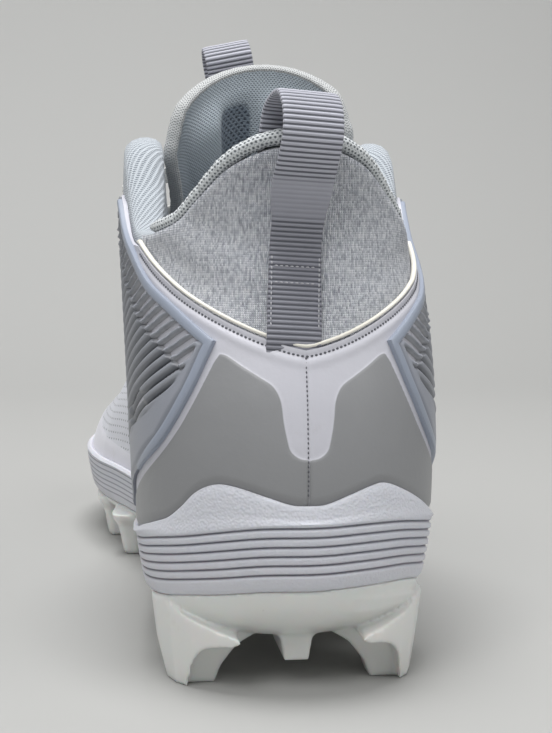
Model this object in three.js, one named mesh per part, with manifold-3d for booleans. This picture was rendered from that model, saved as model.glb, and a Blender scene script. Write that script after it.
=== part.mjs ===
// An American football cleat for the right foot: a mid-height upper with a knitted heel, on a foam midsole
// and a moulded plate with studs. Millimetres, +Z up, toe towards +Y, the outer side of the foot at +X.
// The floor is z = 0, and the origin is on it, under the middle of the sole.
//
// Places on the shoe are given by two numbers. "around" is an angle in degrees: 0 at the heel's back, 180 at
// the toe's tip, positive on the outer side and negative on the inner side. "up" runs from 0, where the upper
// meets the sole, to 1 at its top edge, or at the ridge of the forefoot where the two sides join.
import * as THREE from "three";
import { mergeVertices } from "three/addons/utils/BufferGeometryUtils.js";
import Module from "manifold-3d";

const wasm = await Module();
wasm.setup();

// Driving dimensions
const soleLength = 300;
const heelWidth = 79;
const ballWidth = 104;
const heelStudHeight = 14.5; // floor to the crest of the arches between the rear studs
const heelBowlHeight = 11.5; // floor to the bowl of the plate
const ballStudHeight = 13; // floor to the plate under the ball of the foot
const heelSplit = 28.5; // floor to the line between foam and plate, at the heel
const ballSplit = 17; // the same under the ball of the foot
const heelLedge = 46; // floor to the widest line of the foam, at the heel
const ballLedge = 31.5;
const heelFootbed = 36; // floor to the bottom of the foam's cup
const ballFootbed = 24;
const plateWall = 3;
const wavePeak = 54.5; // floor to the two crests of the foam behind the heel
const waveValley = 50;
const grooveCount = 6;
const grooveDepth = 0.9;
const foamLip = 2.8; // from the foam's widest line in to the foot of the upper
const foamUndercut = 4.2; // from the foam's widest line in to its lower edge
const foamRim = 1.8; // the foam's thickness at its top edge
const collarHeight = 137; // floor to the knit's top edge at the back
const sideHeight = 140; // floor to the top of the padded sides
const instepHeight = 80; // floor to the ridge at the throat's lower end
const toeHeight = 54; // floor to the ridge above the toes
const toeTipHeight = 36;
const throatEnd = 112; // "around" of the throat's lower end
const upperWall = 2.4;
const collarPad = 9; // padding that the collar adds to the wall
const overlayWall = 1.2; // counter and eyestay
const clearance = 0.3;
const bindingRadius = 2.4;
const bindingEnd = 43; // "around" of the binding's two ends
const counterTop = 87; // floor to the counter's top edge at the back seam
const pipingWidth = 1.8;
const eyestayGap = 0.5; // between the eyestay and the upper
const frameWidth = 3.2;
const frameHeight = 1.4;
const sideLean = 4; // how far the collar's outer side leans in
const innerLean = 2.4; // how far the collar's inner side leans out
const insoleThickness = 4.5;
const tongueThickness = 4;
const tonguePad = 3.2;
const tongueWidth = 57;
const tongueTop = 167; // floor to the tongue's top edge
const ribbonWidth = 14.5;
const ribbonThickness = 1.2;
const heelLoopTop = 150; // floor to the top of the pull loop at the heel
const tongueLoopHeight = 12; // above the tongue's top edge
const eyeletPairs = 5;
const eyeletHole = 1.9; // radius
const eyeletFlange = 4.1; // radius
const eyeletBarrel = 2.7; // radius
const laceWidth = 5.2;
const laceThickness = 1.4;

const heelHalf = heelWidth / 2;
const ballHalf = ballWidth / 2;
const halfLength = soleLength / 2;
const radians = THREE.MathUtils.degToRad;

// Sections round the shoe. half: half width before the ends are rounded. bend: the centre line's shift to the
// outer side. split, ledge and foot: the foam's lower edge, its widest line and the floor of its cup.
// wave: the foam's top edge. top: the upper's top edge or ridge. gap: half the opening there. arc: how far
// round a quarter oval the side goes. bulge: how far it swells. pad: its padding near the top.
const sections = [
  { turn: 0, half: 1.9 * heelHalf, bend: 0, split: heelSplit, ledge: heelLedge, foot: heelFootbed,
    wave: waveValley, top: collarHeight, gap: 1.57 * heelHalf, arc: 35, bulge: 0, pad: 0.42 },
  { turn: 9, half: 1.875 * heelHalf, bend: 0, split: heelSplit, ledge: heelLedge, foot: heelFootbed,
    wave: 0.5 * waveValley + 0.5 * wavePeak, top: 0.99 * collarHeight, gap: 1.56 * heelHalf, arc: 35,
    bulge: 0.002 * heelWidth, pad: 0.42 },
  { turn: 17, half: 1.83 * heelHalf, bend: 0, split: 0.97 * heelSplit, ledge: 0.978 * heelLedge, foot: heelFootbed,
    wave: wavePeak, top: 0.96 * collarHeight, gap: 1.555 * heelHalf, arc: 35, bulge: 0.004 * heelWidth,
    pad: 0.42 },
  { turn: 25, half: 1.77 * heelHalf, bend: 0, split: 0.93 * heelSplit, ledge: 0.94 * heelLedge,
    foot: 0.99 * heelFootbed, wave: 0.7 * heelLedge + 0.3 * wavePeak, top: 0.9 * collarHeight,
    gap: 1.545 * heelHalf, arc: 35, bulge: 0.008 * heelWidth, pad: 0.42 },
  { turn: 33, half: 1.66 * heelHalf, bend: 0, split: 0.86 * heelSplit, ledge: 0.895 * heelLedge,
    foot: 0.96 * heelFootbed, wave: 0.925 * heelLedge, top: 0.855 * collarHeight, gap: 1.48 * heelHalf, arc: 35,
    bulge: 0.012 * heelWidth, pad: 0.44 },
  { turn: 47, half: 1.37 * heelHalf, bend: 0, split: 0.755 * heelSplit, ledge: 0.793 * heelLedge,
    foot: 0.883 * heelFootbed, wave: 0.826 * heelLedge, top: 0.848 * collarHeight, gap: 1.3 * heelHalf,
    arc: 36, bulge: 0.014 * heelWidth, pad: 0.55 },
  { turn: 54, half: 1.24 * heelHalf, bend: 0.005 * ballHalf, split: 0.712 * heelSplit, ledge: 0.752 * heelLedge,
    foot: 0.844 * heelFootbed, wave: 0.783 * heelLedge, top: 0.895 * sideHeight, gap: 1.22 * heelHalf,
    arc: 38, bulge: 0.014 * heelWidth, pad: 0.85 },
  { turn: 60, half: 1.155 * heelHalf, bend: 0.01 * ballHalf, split: 0.684 * heelSplit, ledge: 0.727 * heelLedge,
    foot: 0.817 * heelFootbed, wave: 0.759 * heelLedge, top: 0.98 * sideHeight, gap: 1.17 * heelHalf,
    arc: 40, bulge: 0.015 * heelWidth, pad: 1 },
  { turn: 66, half: 1.07 * heelHalf, bend: 0.02 * ballHalf, split: 0.667 * heelSplit, ledge: 0.716 * heelLedge,
    foot: 0.794 * heelFootbed, wave: 0.747 * heelLedge, top: sideHeight, gap: 1.09 * heelHalf,
    arc: 43, bulge: 0.018 * heelWidth, pad: 0.9 },
  { turn: 73, half: 0.99 * heelHalf, bend: 0.03 * ballHalf, split: 0.653 * heelSplit, ledge: 0.709 * heelLedge,
    foot: 0.775 * heelFootbed, wave: 0.738 * heelLedge, top: 0.952 * sideHeight, gap: 0.94 * heelHalf,
    arc: 49, bulge: 0.022 * heelWidth, pad: 0.6 },
  { turn: 81, half: 0.95 * heelHalf, bend: 0.045 * ballHalf, split: 0.639 * heelSplit, ledge: 0.704 * heelLedge,
    foot: 0.758 * heelFootbed, wave: 0.731 * heelLedge, top: 0.85 * sideHeight, gap: 0.78 * heelHalf,
    arc: 57, bulge: 0.026 * heelWidth, pad: 0.2 },
  { turn: 90, half: 0.975 * heelHalf, bend: 0.05 * ballHalf, split: 0.628 * heelSplit, ledge: 0.7 * heelLedge,
    foot: 0.744 * heelFootbed, wave: 0.726 * heelLedge, top: 1.34 * instepHeight, gap: 0.66 * heelHalf,
    arc: 64, bulge: 0.028 * heelWidth, pad: 0 },
  { turn: 101, half: 0.86 * ballHalf, bend: 0.035 * ballHalf, split: 1.035 * ballSplit, ledge: 1.02 * ballLedge,
    foot: 1.08 * ballFootbed, wave: 1.06 * ballLedge, top: 1.15 * instepHeight, gap: 0.58 * heelHalf,
    arc: 72, bulge: 0.022 * ballWidth, pad: 0 },
  { turn: 112, half: 1.035 * ballHalf, bend: 0.02 * ballHalf, split: ballSplit, ledge: ballLedge,
    foot: ballFootbed, wave: 1.045 * ballLedge, top: instepHeight, gap: 0.55 * heelHalf,
    arc: 90, bulge: 0.02 * ballWidth, pad: 0 },
  { turn: 122, half: 1.18 * ballHalf, bend: 0, split: ballSplit, ledge: ballLedge, foot: ballFootbed,
    wave: 1.045 * ballLedge, top: 1.32 * toeHeight, gap: 0, arc: 90, bulge: 0.014 * ballWidth, pad: 0 },
  { turn: 135, half: 1.335 * ballHalf, bend: -0.03 * ballHalf, split: 1.03 * ballSplit, ledge: 1.02 * ballLedge,
    foot: 1.02 * ballFootbed, wave: 1.065 * ballLedge, top: 1.18 * toeHeight, gap: 0, arc: 90,
    bulge: 0.012 * ballWidth, pad: 0 },
  { turn: 150, half: 1.46 * ballHalf, bend: -0.08 * ballHalf, split: 1.15 * ballSplit, ledge: 1.08 * ballLedge,
    foot: 1.09 * ballFootbed, wave: 1.11 * ballLedge, top: 1.08 * toeHeight, gap: 0, arc: 90,
    bulge: 0.01 * ballWidth, pad: 0 },
  { turn: 165, half: 1.52 * ballHalf, bend: -0.12 * ballHalf, split: 1.32 * ballSplit, ledge: 1.16 * ballLedge,
    foot: 1.2 * ballFootbed, wave: 1.18 * ballLedge, top: 0.48 * toeHeight + 0.7 * toeTipHeight, gap: 0,
    arc: 90, bulge: 0.004 * ballWidth, pad: 0 },
  { turn: 180, half: 1.53 * ballHalf, bend: -0.135 * ballHalf, split: 1.42 * ballSplit, ledge: 1.17 * ballLedge,
    foot: 1.26 * ballFootbed, wave: 1.2 * ballLedge, top: 1.24 * toeTipHeight, gap: 0, arc: 90,
    bulge: 0, pad: 0 },
];

// The back of the heel seen from the side. high: height above the floor. in: how far forward of the foot line.
const heelLine = [
  { high: heelFootbed, in: 0.008 * soleLength },
  { high: wavePeak, in: 0 },
  { high: 0.83 * counterTop, in: 0.006 * soleLength },
  { high: counterTop, in: 0.02 * soleLength },
  { high: 0.74 * collarHeight, in: 0.037 * soleLength },
  { high: 0.84 * collarHeight, in: 0.049 * soleLength },
  { high: 0.92 * collarHeight, in: 0.049 * soleLength },
  { high: 1.04 * collarHeight, in: 0.036 * soleLength },
];

// A smooth curve through a table's column.
function along(table, key, column, at) {
  let i = 0;
  while (i < table.length - 2 && at > table[i + 1][key]) i++;
  const slope = (k) => {
    const a = table[Math.max(k - 1, 0)];
    const b = table[Math.min(k + 1, table.length - 1)];
    return (b[column] - a[column]) / (b[key] - a[key]);
  };
  const [a, b] = [table[i], table[i + 1]];
  const span = b[key] - a[key];
  const t = THREE.MathUtils.clamp((at - a[key]) / span, 0, 1);
  const t2 = t * t;
  const t3 = t2 * t;
  return (2 * t3 - 3 * t2 + 1) * a[column] + (t3 - 2 * t2 + t) * span * slope(i)
    + (3 * t2 - 2 * t3) * b[column] + (t3 - t2) * span * slope(i + 1);
}

const section = (around, column) => along(sections, "turn", column, Math.abs(around));
const ease = THREE.MathUtils.smoothstep;

// A point of the sole's outline, moved in by a distance.
function outline(around, inset, z) {
  const angle = radians(around);
  const half = section(around, "half");
  const x = section(around, "bend") + (half - inset) * Math.sin(angle);
  return new THREE.Vector3(x, -(halfLength - inset) * Math.cos(angle), z);
}

// The upper's outer face, without an offset.
function face(around, up) {
  const turn = Math.abs(around);
  const side = Math.sin(radians(around));
  const foot = outline(around, foamLip, section(around, "foot"));
  const rise = section(around, "top") - foot.z;
  const arc = radians(Math.min(section(around, "arc"), 90));
  const throat = turn >= throatEnd ? 0 : Math.sqrt(1 - (turn / throatEnd) ** 12);
  const full = 1.05 - 0.3 * ease(turn, throatEnd, 150);
  const now = Math.max(Math.cos(arc * up), 0) ** full;
  const last = Math.max(Math.cos(arc), 0) ** full;
  const share = (now - last) / (1 - last);
  const beside = Math.sin(Math.PI * THREE.MathUtils.clamp((turn - 30) / 70, 0, 1));
  const lean = beside * (around > 0 ? sideLean : innerLean);
  const edge = section(around, "bend") + section(around, "gap") * throat * side - lean;
  const z = foot.z + rise * Math.sin(arc * up) / Math.sin(arc);
  const swell = section(around, "bulge") * Math.sin(Math.PI * up) * side;
  const x = edge + (foot.x - edge) * share + swell;
  const inward = along(heelLine, "high", "in", z) * Math.max(0, Math.cos(radians(around))) ** 1.5;
  return new THREE.Vector3(x, foot.y + inward, z);
}

// "around" brought back between -180 and 180.
const wrapped = (around) => around > 180 ? around - 360 : around < -180 ? around + 360 : around;

// The direction out of a surface given by a function of two numbers.
function outward(surface, u, v, du, dv, vMax) {
  const along1 = surface(u + du, v).sub(surface(u - du, v));
  const v1 = Math.min(v + dv, vMax);
  const along2 = surface(u, v1).sub(surface(u, v1 - 2 * dv));
  return along1.cross(along2).normalize();
}

// A point at a distance outside the upper's outer face, or inside it where the distance is negative.
function upperPoint(around, up, out = 0) {
  const place = (a, b) => face(wrapped(a), b);
  const onRidge = Math.abs(around) >= throatEnd && up >= 1;
  const normal = outward(place, onRidge ? Math.abs(around) : around, up, 0.5, 0.01, 1);
  if (onRidge) normal.setX(0).normalize();
  return face(around, up).addScaledVector(normal, out);
}

// "up" of a height on the upper.
function upAt(around, z) {
  const foot = section(around, "foot");
  const arc = radians(Math.min(section(around, "arc"), 90));
  const share = THREE.MathUtils.clamp((z - foot) / (section(around, "top") - foot), 0, 1);
  return Math.asin(share * Math.sin(arc)) / arc;
}

const wallAt = (around, up) => upperWall + collarPad * section(around, "pad") * ease(up, 0.45, 0.85);

// Closed solids
function geometryOf(corners, faces) {
  const geometry = new THREE.BufferGeometry();
  geometry.setAttribute("position", new THREE.Float32BufferAttribute(corners.flatMap((p) => p.toArray()), 3));
  geometry.setIndex(faces.flat());
  return geometry;
}

function solidOf(geometry) {
  const bare = geometry.clone();
  bare.deleteAttribute("normal");
  bare.deleteAttribute("uv");
  const merged = mergeVertices(bare, 1e-3);
  const kept = [];
  for (let i = 0; i < merged.index.count; i += 3) {
    const [a, b, c] = [0, 1, 2].map((k) => merged.index.getX(i + k));
    if (a !== b && b !== c && c !== a) kept.push(a, b, c);
  }
  const mesh = new wasm.Mesh({
    numProp: 3, vertProperties: merged.attributes.position.array, triVerts: new Uint32Array(kept),
  });
  return new wasm.Manifold(mesh);
}

function geometryFrom(solid) {
  const mesh = solid.getMesh();
  const geometry = new THREE.BufferGeometry();
  geometry.setAttribute("position", new THREE.BufferAttribute(new Float32Array(mesh.vertProperties), 3));
  geometry.setIndex(new THREE.BufferAttribute(new Uint32Array(mesh.triVerts), 1));
  geometry.computeVertexNormals();
  return geometry;
}

const union = (solids) => solids.reduce((a, b) => a.add(b));

// "around" of each column, from the toe's tip along the inner side, round the heel and back.
function columnsOf(count) {
  return Array.from({ length: count }, (_, i) => -180 + 360 * i / count);
}

// A solid from rings, lowest first, each given by a function of "around". Its two ends are closed by
// triangles laid across from the inner side to the outer side.
function loft(rings, count = 72) {
  const columns = columnsOf(count);
  const corners = rings.flatMap((ring) => columns.map((around) => ring(around)));
  const faces = [];
  for (let j = 0; j < rings.length - 1; j++) {
    for (let i = 0; i < count; i++) {
      const k = (i + 1) % count;
      const [a, b] = [j * count + i, j * count + k];
      faces.push([a, b, b + count], [a, b + count, a + count]);
    }
  }
  const last = (rings.length - 1) * count;
  for (let i = 0; i < count / 2; i++) {
    const [a, b] = [i, i + 1];
    const [c, d] = [(count - i) % count, (count - i - 1) % count];
    faces.push([a, d, b], [a, c, d]);
    faces.push([last + a, last + b, last + d], [last + a, last + d, last + c]);
  }
  return solidOf(geometryOf(corners, faces));
}

// A slab between two offsets of a surface: place(u, v, offset) for u and v from 0 to 1.
function slab(place, low, high, across, upward) {
  const corners = [];
  for (const offset of [low, high]) {
    for (let j = 0; j <= upward; j++) {
      for (let i = 0; i <= across; i++) corners.push(place(i / across, j / upward, offset));
    }
  }
  const layer = (across + 1) * (upward + 1);
  const at = (i, j, k) => k * layer + j * (across + 1) + i;
  const faces = [];
  const quad = (a, b, c, d) => faces.push([a, b, c], [a, c, d]);
  for (let j = 0; j < upward; j++) {
    for (let i = 0; i < across; i++) {
      quad(at(i, j, 1), at(i + 1, j, 1), at(i + 1, j + 1, 1), at(i, j + 1, 1));
      quad(at(i, j, 0), at(i, j + 1, 0), at(i + 1, j + 1, 0), at(i + 1, j, 0));
    }
    quad(at(0, j, 0), at(0, j, 1), at(0, j + 1, 1), at(0, j + 1, 0));
    quad(at(across, j, 0), at(across, j + 1, 0), at(across, j + 1, 1), at(across, j, 1));
  }
  for (let i = 0; i < across; i++) {
    quad(at(i, 0, 0), at(i + 1, 0, 0), at(i + 1, 0, 1), at(i, 0, 1));
    quad(at(i, upward, 0), at(i, upward, 1), at(i + 1, upward, 1), at(i + 1, upward, 0));
  }
  return solidOf(geometryOf(corners, faces));
}

// A flat outline of [across, up] points, extruded along Y from one place to another.
function extrudeAlongY(points, from, to) {
  const shape = new THREE.Shape(points.map(([x, z]) => new THREE.Vector2(x, z)));
  const geometry = new THREE.ExtrudeGeometry(shape, { depth: to - from, bevelEnabled: false });
  return solidOf(geometry.rotateX(Math.PI / 2).translate(0, to, 0));
}

const upperRows = [0, 0.12, 0.27, 0.44, 0.6, 0.76, 0.9, 1];

// Upper: one hollow wall, open at the collar, at the throat and underneath.
function makeUpper() {
  const count = 72;
  const columns = columnsOf(count);
  const rows = upperRows;
  const outer = rows.map((up) => columns.map((around) => upperPoint(around, up)));
  const inner = rows.map((up) => columns.map((around) => upperPoint(around, up, -wallAt(around, up))));
  const crest = columns.map((around, i) => {
    const rounding = 0.32 * wallAt(around, 1) * ease(Math.abs(around), bindingEnd + 2, 58);
    const middle = outer.at(-1)[i].clone().lerp(inner.at(-1)[i], 0.5);
    return middle.setZ(middle.z + rounding);
  });
  const rings = [...outer, crest, ...inner.toReversed()];
  const isOpen = (i) => Math.abs(columns[i]) < throatEnd;
  const faces = [];
  rings.forEach((ring, j) => {
    for (let i = 0; i < count; i++) {
      const k = (i + 1) % count;
      const m = (j + 1) % rings.length;
      const onEdge = j === rows.length - 1 || j === rows.length;
      if (onEdge && !(isOpen(i) || isOpen(k))) continue;
      const [a, b, c, d] = [j * count + i, j * count + k, m * count + k, m * count + i];
      faces.push([a, b, c], [a, c, d]);
    }
  });
  return solidOf(geometryOf(rings.flat(), faces)).subtract(eyeletHoles());
}

// The upper's outer form with no hollow, moved out, and carried down through the foam's cup.
function upperPlug(out, drop) {
  const rows = upperRows.slice(0, 7);
  const bottom = (around) => upperPoint(around, 0, out).add(new THREE.Vector3(0, 0, -drop));
  return loft([bottom, ...rows.map((up) => (around) => upperPoint(around, up, out))], 72);
}

// Midsole: a foam cup with a waved rim and grooves, filling the bowl of the plate.
function makeMidsole() {
  const split = (around) => section(around, "split");
  const ledge = (around) => section(around, "ledge");
  const groove = (around) => grooveDepth * (1 - ease(Math.abs(around), 78, 96));
  const rings = [
    (around) => outline(around, foamUndercut, split(around)),
    (around) => outline(around, 0.76 * foamUndercut, split(around) + 1.3),
  ];
  const lowest = (around) => split(around) + 0.19 * (ledge(around) - split(around));
  for (let n = 0; n < grooveCount; n++) {
    const pitch = (around) => (ledge(around) - lowest(around)) / grooveCount;
    const centre = (around) => lowest(around) + (n + 0.5) * pitch(around);
    const rib = 0.6 * foamUndercut * (1 - n / grooveCount) ** 1.3;
    rings.push((around) => outline(around, rib + groove(around), centre(around)));
    rings.push((around) => outline(around, rib, centre(around) + 0.5 * pitch(around)));
  }
  rings.push((around) => outline(around, 0, ledge(around)));
  const rim = (share, extra) => (around) => {
    const z = ledge(around) + share * (section(around, "wave") - ledge(around));
    return upperPoint(around, upAt(around, z), foamRim + extra);
  };
  rings.push(rim(0.35, 0.8), rim(0.75, 0.35), rim(1, 0));
  const body = loft(rings, 60);
  const bowl = loft(bowlRings(plateWall + clearance, clearance), 60);
  return body.add(bowl).subtract(upperPlug(clearance, clearance));
}

// The plate's bowl, seen from below: rings from its floor to its rim, moved in and up.
function bowlRings(inward, lift) {
  const floor = (around) => THREE.MathUtils.lerp(heelBowlHeight, ballStudHeight, ease(Math.abs(around), 70, 105))
    + (section(around, "split") - ballSplit) * ease(Math.abs(around), 125, 165);
  const ring = (depth, inset) => (around) => {
    const base = floor(around);
    const top = section(around, "split") - clearance;
    const wide = THREE.MathUtils.lerp(1, 0.28, ease(Math.abs(around), 70, 105));
    const z = base + (top - base) * depth + inward * (1 - depth) + lift * depth;
    return outline(around, inset * wide + foamUndercut + inward * Math.sqrt(depth), z);
  };
  return [ring(0, 27), ring(0.1, 17), ring(0.3, 9), ring(0.6, 3.4), ring(1, 0)];
}

// A stud: a tapered block whose foot is a rounded rectangle, flared where it meets the plate.
function stud({ at, across, long, wide, turn, lean = 0 }, root) {
  const sides = 12;
  const levels = [
    { high: 0, grow: 0.8 }, { high: 0.08, grow: 0.92 }, { high: 0.5, grow: 1.06 },
    { high: 0.8, grow: 1.25 }, { high: 1, grow: 1.6 }, { high: 1.15, grow: 1.7 },
  ];
  const corners = levels.flatMap(({ high, grow }) => Array.from({ length: sides }, (_, i) => {
    const angle = 2 * Math.PI * (i + 0.5) / sides;
    const round = (value) => Math.sign(value) * Math.abs(value) ** 0.55;
    const point = new THREE.Vector3(grow * wide / 2 * round(Math.cos(angle)),
      grow * long / 2 * round(Math.sin(angle)), 0);
    point.applyAxisAngle(new THREE.Vector3(0, 0, 1), radians(turn));
    return point.add(new THREE.Vector3(across + lean * high, at, high * root));
  }));
  const faces = [];
  for (let j = 0; j < levels.length - 1; j++) {
    for (let i = 0; i < sides; i++) {
      const k = (i + 1) % sides;
      const [a, b] = [j * sides + i, j * sides + k];
      faces.push([a, b, b + sides], [a, b + sides, a + sides]);
    }
  }
  const last = (levels.length - 1) * sides;
  for (let i = 1; i < sides - 1; i++) faces.push([0, i + 1, i], [last, last + i, last + i + 1]);
  return solidOf(geometryOf(corners, faces));
}

// The tall stud at each rear corner: its rear face as seen from behind, on a band of the heel's outline,
// and a thin web that arches in under the bowl.
function heelStud(side) {
  const root = heelSplit - 6;
  const rear = [
    [0.895, root], [0.855, 0.7 * heelStudHeight], [0.79, 0], [0.675, 0], [0.66, 0.35 * heelStudHeight],
    [0.64, 0.58 * heelStudHeight], [0.595, 0.75 * heelStudHeight], [0.52, 0.85 * heelStudHeight],
    [0.42, 0.9 * heelStudHeight], [0.375, 0.97 * heelStudHeight], [0.39, 1.06 * heelStudHeight],
    [0.54, 1.18 * heelStudHeight], [0.7, 1.33 * heelStudHeight], [0.84, root],
  ].map(([across, high]) => [side * across * heelHalf, high]);
  const web = [
    [0.79, 1.3 * heelStudHeight], [0.75, 0], [0.5, 0], [0.46, 0.3 * heelStudHeight],
    [0.36, 0.66 * heelStudHeight], [0.22, 0.9 * heelStudHeight], [0.05, 1.03 * heelStudHeight],
    [0.05, 1.3 * heelStudHeight],
  ].map(([across, high]) => [side * across * heelHalf, high]);
  const band = loft([(around) => outline(around, 1.9 * foamUndercut, 0),
    (around) => outline(around, 1.1 * foamUndercut, root)], 60)
    .subtract(loft([(around) => outline(around, 18, -1), (around) => outline(around, 24, root + 1)], 60));
  const back = -halfLength;
  return extrudeAlongY(rear, back, back + 0.14 * soleLength).intersect(band)
    .add(extrudeAlongY(web, back + 0.085 * soleLength, back + 0.112 * soleLength));
}

const forefootStuds = [
  { at: 0.12 * soleLength, across: 0.7 * ballHalf, long: 15, wide: 8, turn: 8, lean: 1 },
  { at: 0.12 * soleLength, across: -0.68 * ballHalf, long: 15, wide: 8, turn: -8, lean: -1 },
  { at: 0.235 * soleLength, across: 0.76 * ballHalf, long: 15, wide: 8, turn: -4, lean: 1 },
  { at: 0.235 * soleLength, across: -0.78 * ballHalf, long: 15, wide: 8, turn: 2, lean: -1 },
  { at: 0.345 * soleLength, across: 0.6 * ballHalf, long: 14, wide: 8, turn: -24, lean: 1 },
  { at: 0.345 * soleLength, across: -0.74 * ballHalf, long: 14, wide: 8, turn: 16, lean: -1 },
  { at: 0.2 * soleLength, across: 0, long: 9, wide: 13, turn: 0 },
  { at: 0.425 * soleLength, across: -0.13 * ballHalf, long: 8, wide: 13, turn: 0 },
];
const midHeelStuds = [
  { at: -0.29 * soleLength, across: 0.7 * heelHalf, long: 14, wide: 7, turn: 4, lean: 1 },
  { at: -0.29 * soleLength, across: -0.7 * heelHalf, long: 14, wide: 7, turn: -4, lean: -1 },
];

// Outsole: the moulded plate with its studs, in one piece.
function makeOutsole() {
  const plate = loft(bowlRings(0, 0), 60).subtract(loft([...bowlRings(plateWall, 0.01),
    (around) => outline(around, foamUndercut + plateWall, section(around, "split") + 1)], 60));
  const studs = [heelStud(1), heelStud(-1)];
  for (const row of midHeelStuds) studs.push(stud(row, heelStudHeight));
  for (const row of forefootStuds) studs.push(stud(row, ballStudHeight + 0.6));
  const nub = extrudeAlongY([
    [-0.17, 1.15], [-0.1, 0.86], [-0.08, 0.47], [0.08, 0.47], [0.1, 0.86], [0.17, 1.15],
  ].map(([across, high]) => [across * heelHalf, high * heelStudHeight]),
  -0.435 * soleLength, -0.36 * soleLength);
  const hollow = loft([...bowlRings(plateWall, 0.01),
    (around) => outline(around, foamUndercut + plateWall, section(around, "split") + 1),
    (around) => outline(around, foamUndercut + plateWall, heelLedge + 10)], 60);
  const above = loft([(around) => outline(around, -10, section(around, "split") - clearance),
    (around) => outline(around, -10, heelLedge + 10)], 60);
  return union([plate, nub, ...studs]).subtract(hollow).subtract(above);
}

// Insole: a thin pad on the floor of the cup.
function makeInsole() {
  const inset = foamLip + upperWall + 3.4;
  const ring = (share) => (around) => outline(around, inset + 0.6 * share,
    section(around, "foot") + clearance + share * insoleThickness);
  return loft([ring(0), ring(0.6), ring(1)], 60);
}

// An overlay on the upper, between two heights given by functions of "around".
function overlay(from, to, low, high, thickness, across, upward, gap = clearance) {
  const place = (u, v, offset) => {
    const around = from + (to - from) * u;
    const up = THREE.MathUtils.lerp(low(around), high(around), v);
    return upperPoint(around, up, offset);
  };
  return slab(place, gap, gap + thickness, across, upward);
}

// The height of the counter's top edge, which rises to the binding's ends and on beside the padded sides.
function counterEdge(around) {
  const turn = Math.abs(around);
  const end = section(bindingEnd, "top") - pipingWidth - 3 * clearance;
  if (turn <= bindingEnd) return THREE.MathUtils.lerp(counterTop, end, (turn / bindingEnd) ** 1.35);
  return Math.min(end + 0.95 * (turn - bindingEnd), section(turn, "top") - 3);
}

function makeCounter() {
  const reach = (v) => THREE.MathUtils.lerp(70, 58, v);
  const place = (u, v, offset) => {
    const around = reach(v) * (2 * u - 1);
    const low = upAt(around, section(around, "wave") + foamRim);
    return upperPoint(around, THREE.MathUtils.lerp(low, upAt(around, counterEdge(around)), v), offset);
  };
  return slab(place, clearance, clearance + overlayWall, 44, 6);
}

function makePiping() {
  const low = (around) => upAt(around, counterEdge(around) + clearance);
  const high = (around) => upAt(around, counterEdge(around) + clearance + pipingWidth);
  return overlay(-bindingEnd, bindingEnd, low, high, overlayWall + 0.4, 36, 1);
}

// Side frame: a raised rib in the shape of an arrowhead that points back. around and high: its corners.
const framePath = [
  { around: 57, high: 0.89 * sideHeight }, { around: 50, high: 0.825 * sideHeight },
  { around: 43, high: 0.775 * sideHeight }, { around: 36, high: 0.727 * sideHeight },
  { around: 28, high: 0.686 * sideHeight }, { around: 19, high: 0.63 * sideHeight },
  { around: 24, high: 0.543 * sideHeight }, { around: 31, high: 0.457 * sideHeight },
  { around: 41, high: 0.39 * sideHeight },
];

function makeFrame(side) {
  const lift = clearance + overlayWall + clearance;
  const parts = 3;
  const spots = Array.from({ length: (framePath.length - 1) * parts + 1 }, (_, n) => {
    const i = Math.min(Math.floor(n / parts), framePath.length - 2);
    const [a, b] = [framePath[i], framePath[i + 1]];
    const around = THREE.MathUtils.lerp(a.around, b.around, n / parts - i);
    const high = THREE.MathUtils.lerp(a.high, b.high, n / parts - i);
    return [side * around, upAt(around, high)];
  });
  const points = spots.map(([around, up]) => upperPoint(around, up));
  const normals = spots.map(([around, up]) => upperPoint(around, up, 1).sub(upperPoint(around, up)));
  const unit = (i) => points[i + 1].clone().sub(points[i]).normalize();
  const mitres = points.map((_, i) => {
    const before = unit(Math.max(i - 1, 0));
    const after = unit(Math.min(i, points.length - 2));
    const [a, b] = [before, after].map((way) => normals[i].clone().cross(way).normalize());
    const sum = a.add(b);
    return sum.multiplyScalar(2 / sum.lengthSq());
  });
  const place = (u, v, offset) => {
    const i = Math.round(u * (points.length - 1));
    const slope = offset > lift ? 0.36 : 0.5;
    return points[i].clone().addScaledVector(mitres[i], (v * 2 - 1) * slope * frameWidth)
      .addScaledVector(normals[i], offset);
  };
  const solid = slab(place, lift, lift + frameHeight, points.length - 1, 1);
  return solid;
}

// Collar binding: a padded roll on the knit's top edge.
function makeBinding() {
  const outerEdge = (around) => upperPoint(around, 1);
  const innerEdge = (around) => upperPoint(around, 1, -wallAt(around, 1));
  const points = Array.from({ length: 29 }, (_, i) => {
    const around = bindingEnd * (i / 14 - 1);
    const way = outerEdge(around + 0.5).sub(outerEdge(around - 0.5));
    const across = innerEdge(around).sub(outerEdge(around));
    const rise = way.cross(across).normalize();
    return outerEdge(around).lerp(innerEdge(around), 0.5).addScaledVector(rise, bindingRadius + 2 * clearance);
  });
  const path = new THREE.CatmullRomCurve3(points);
  const disc = new THREE.Shape().absarc(0, 0, bindingRadius, 0, 2 * Math.PI);
  return solidOf(new THREE.ExtrudeGeometry(disc, {
    steps: 28, curveSegments: 6, extrudePath: path, bevelEnabled: false,
  }));
}

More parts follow.
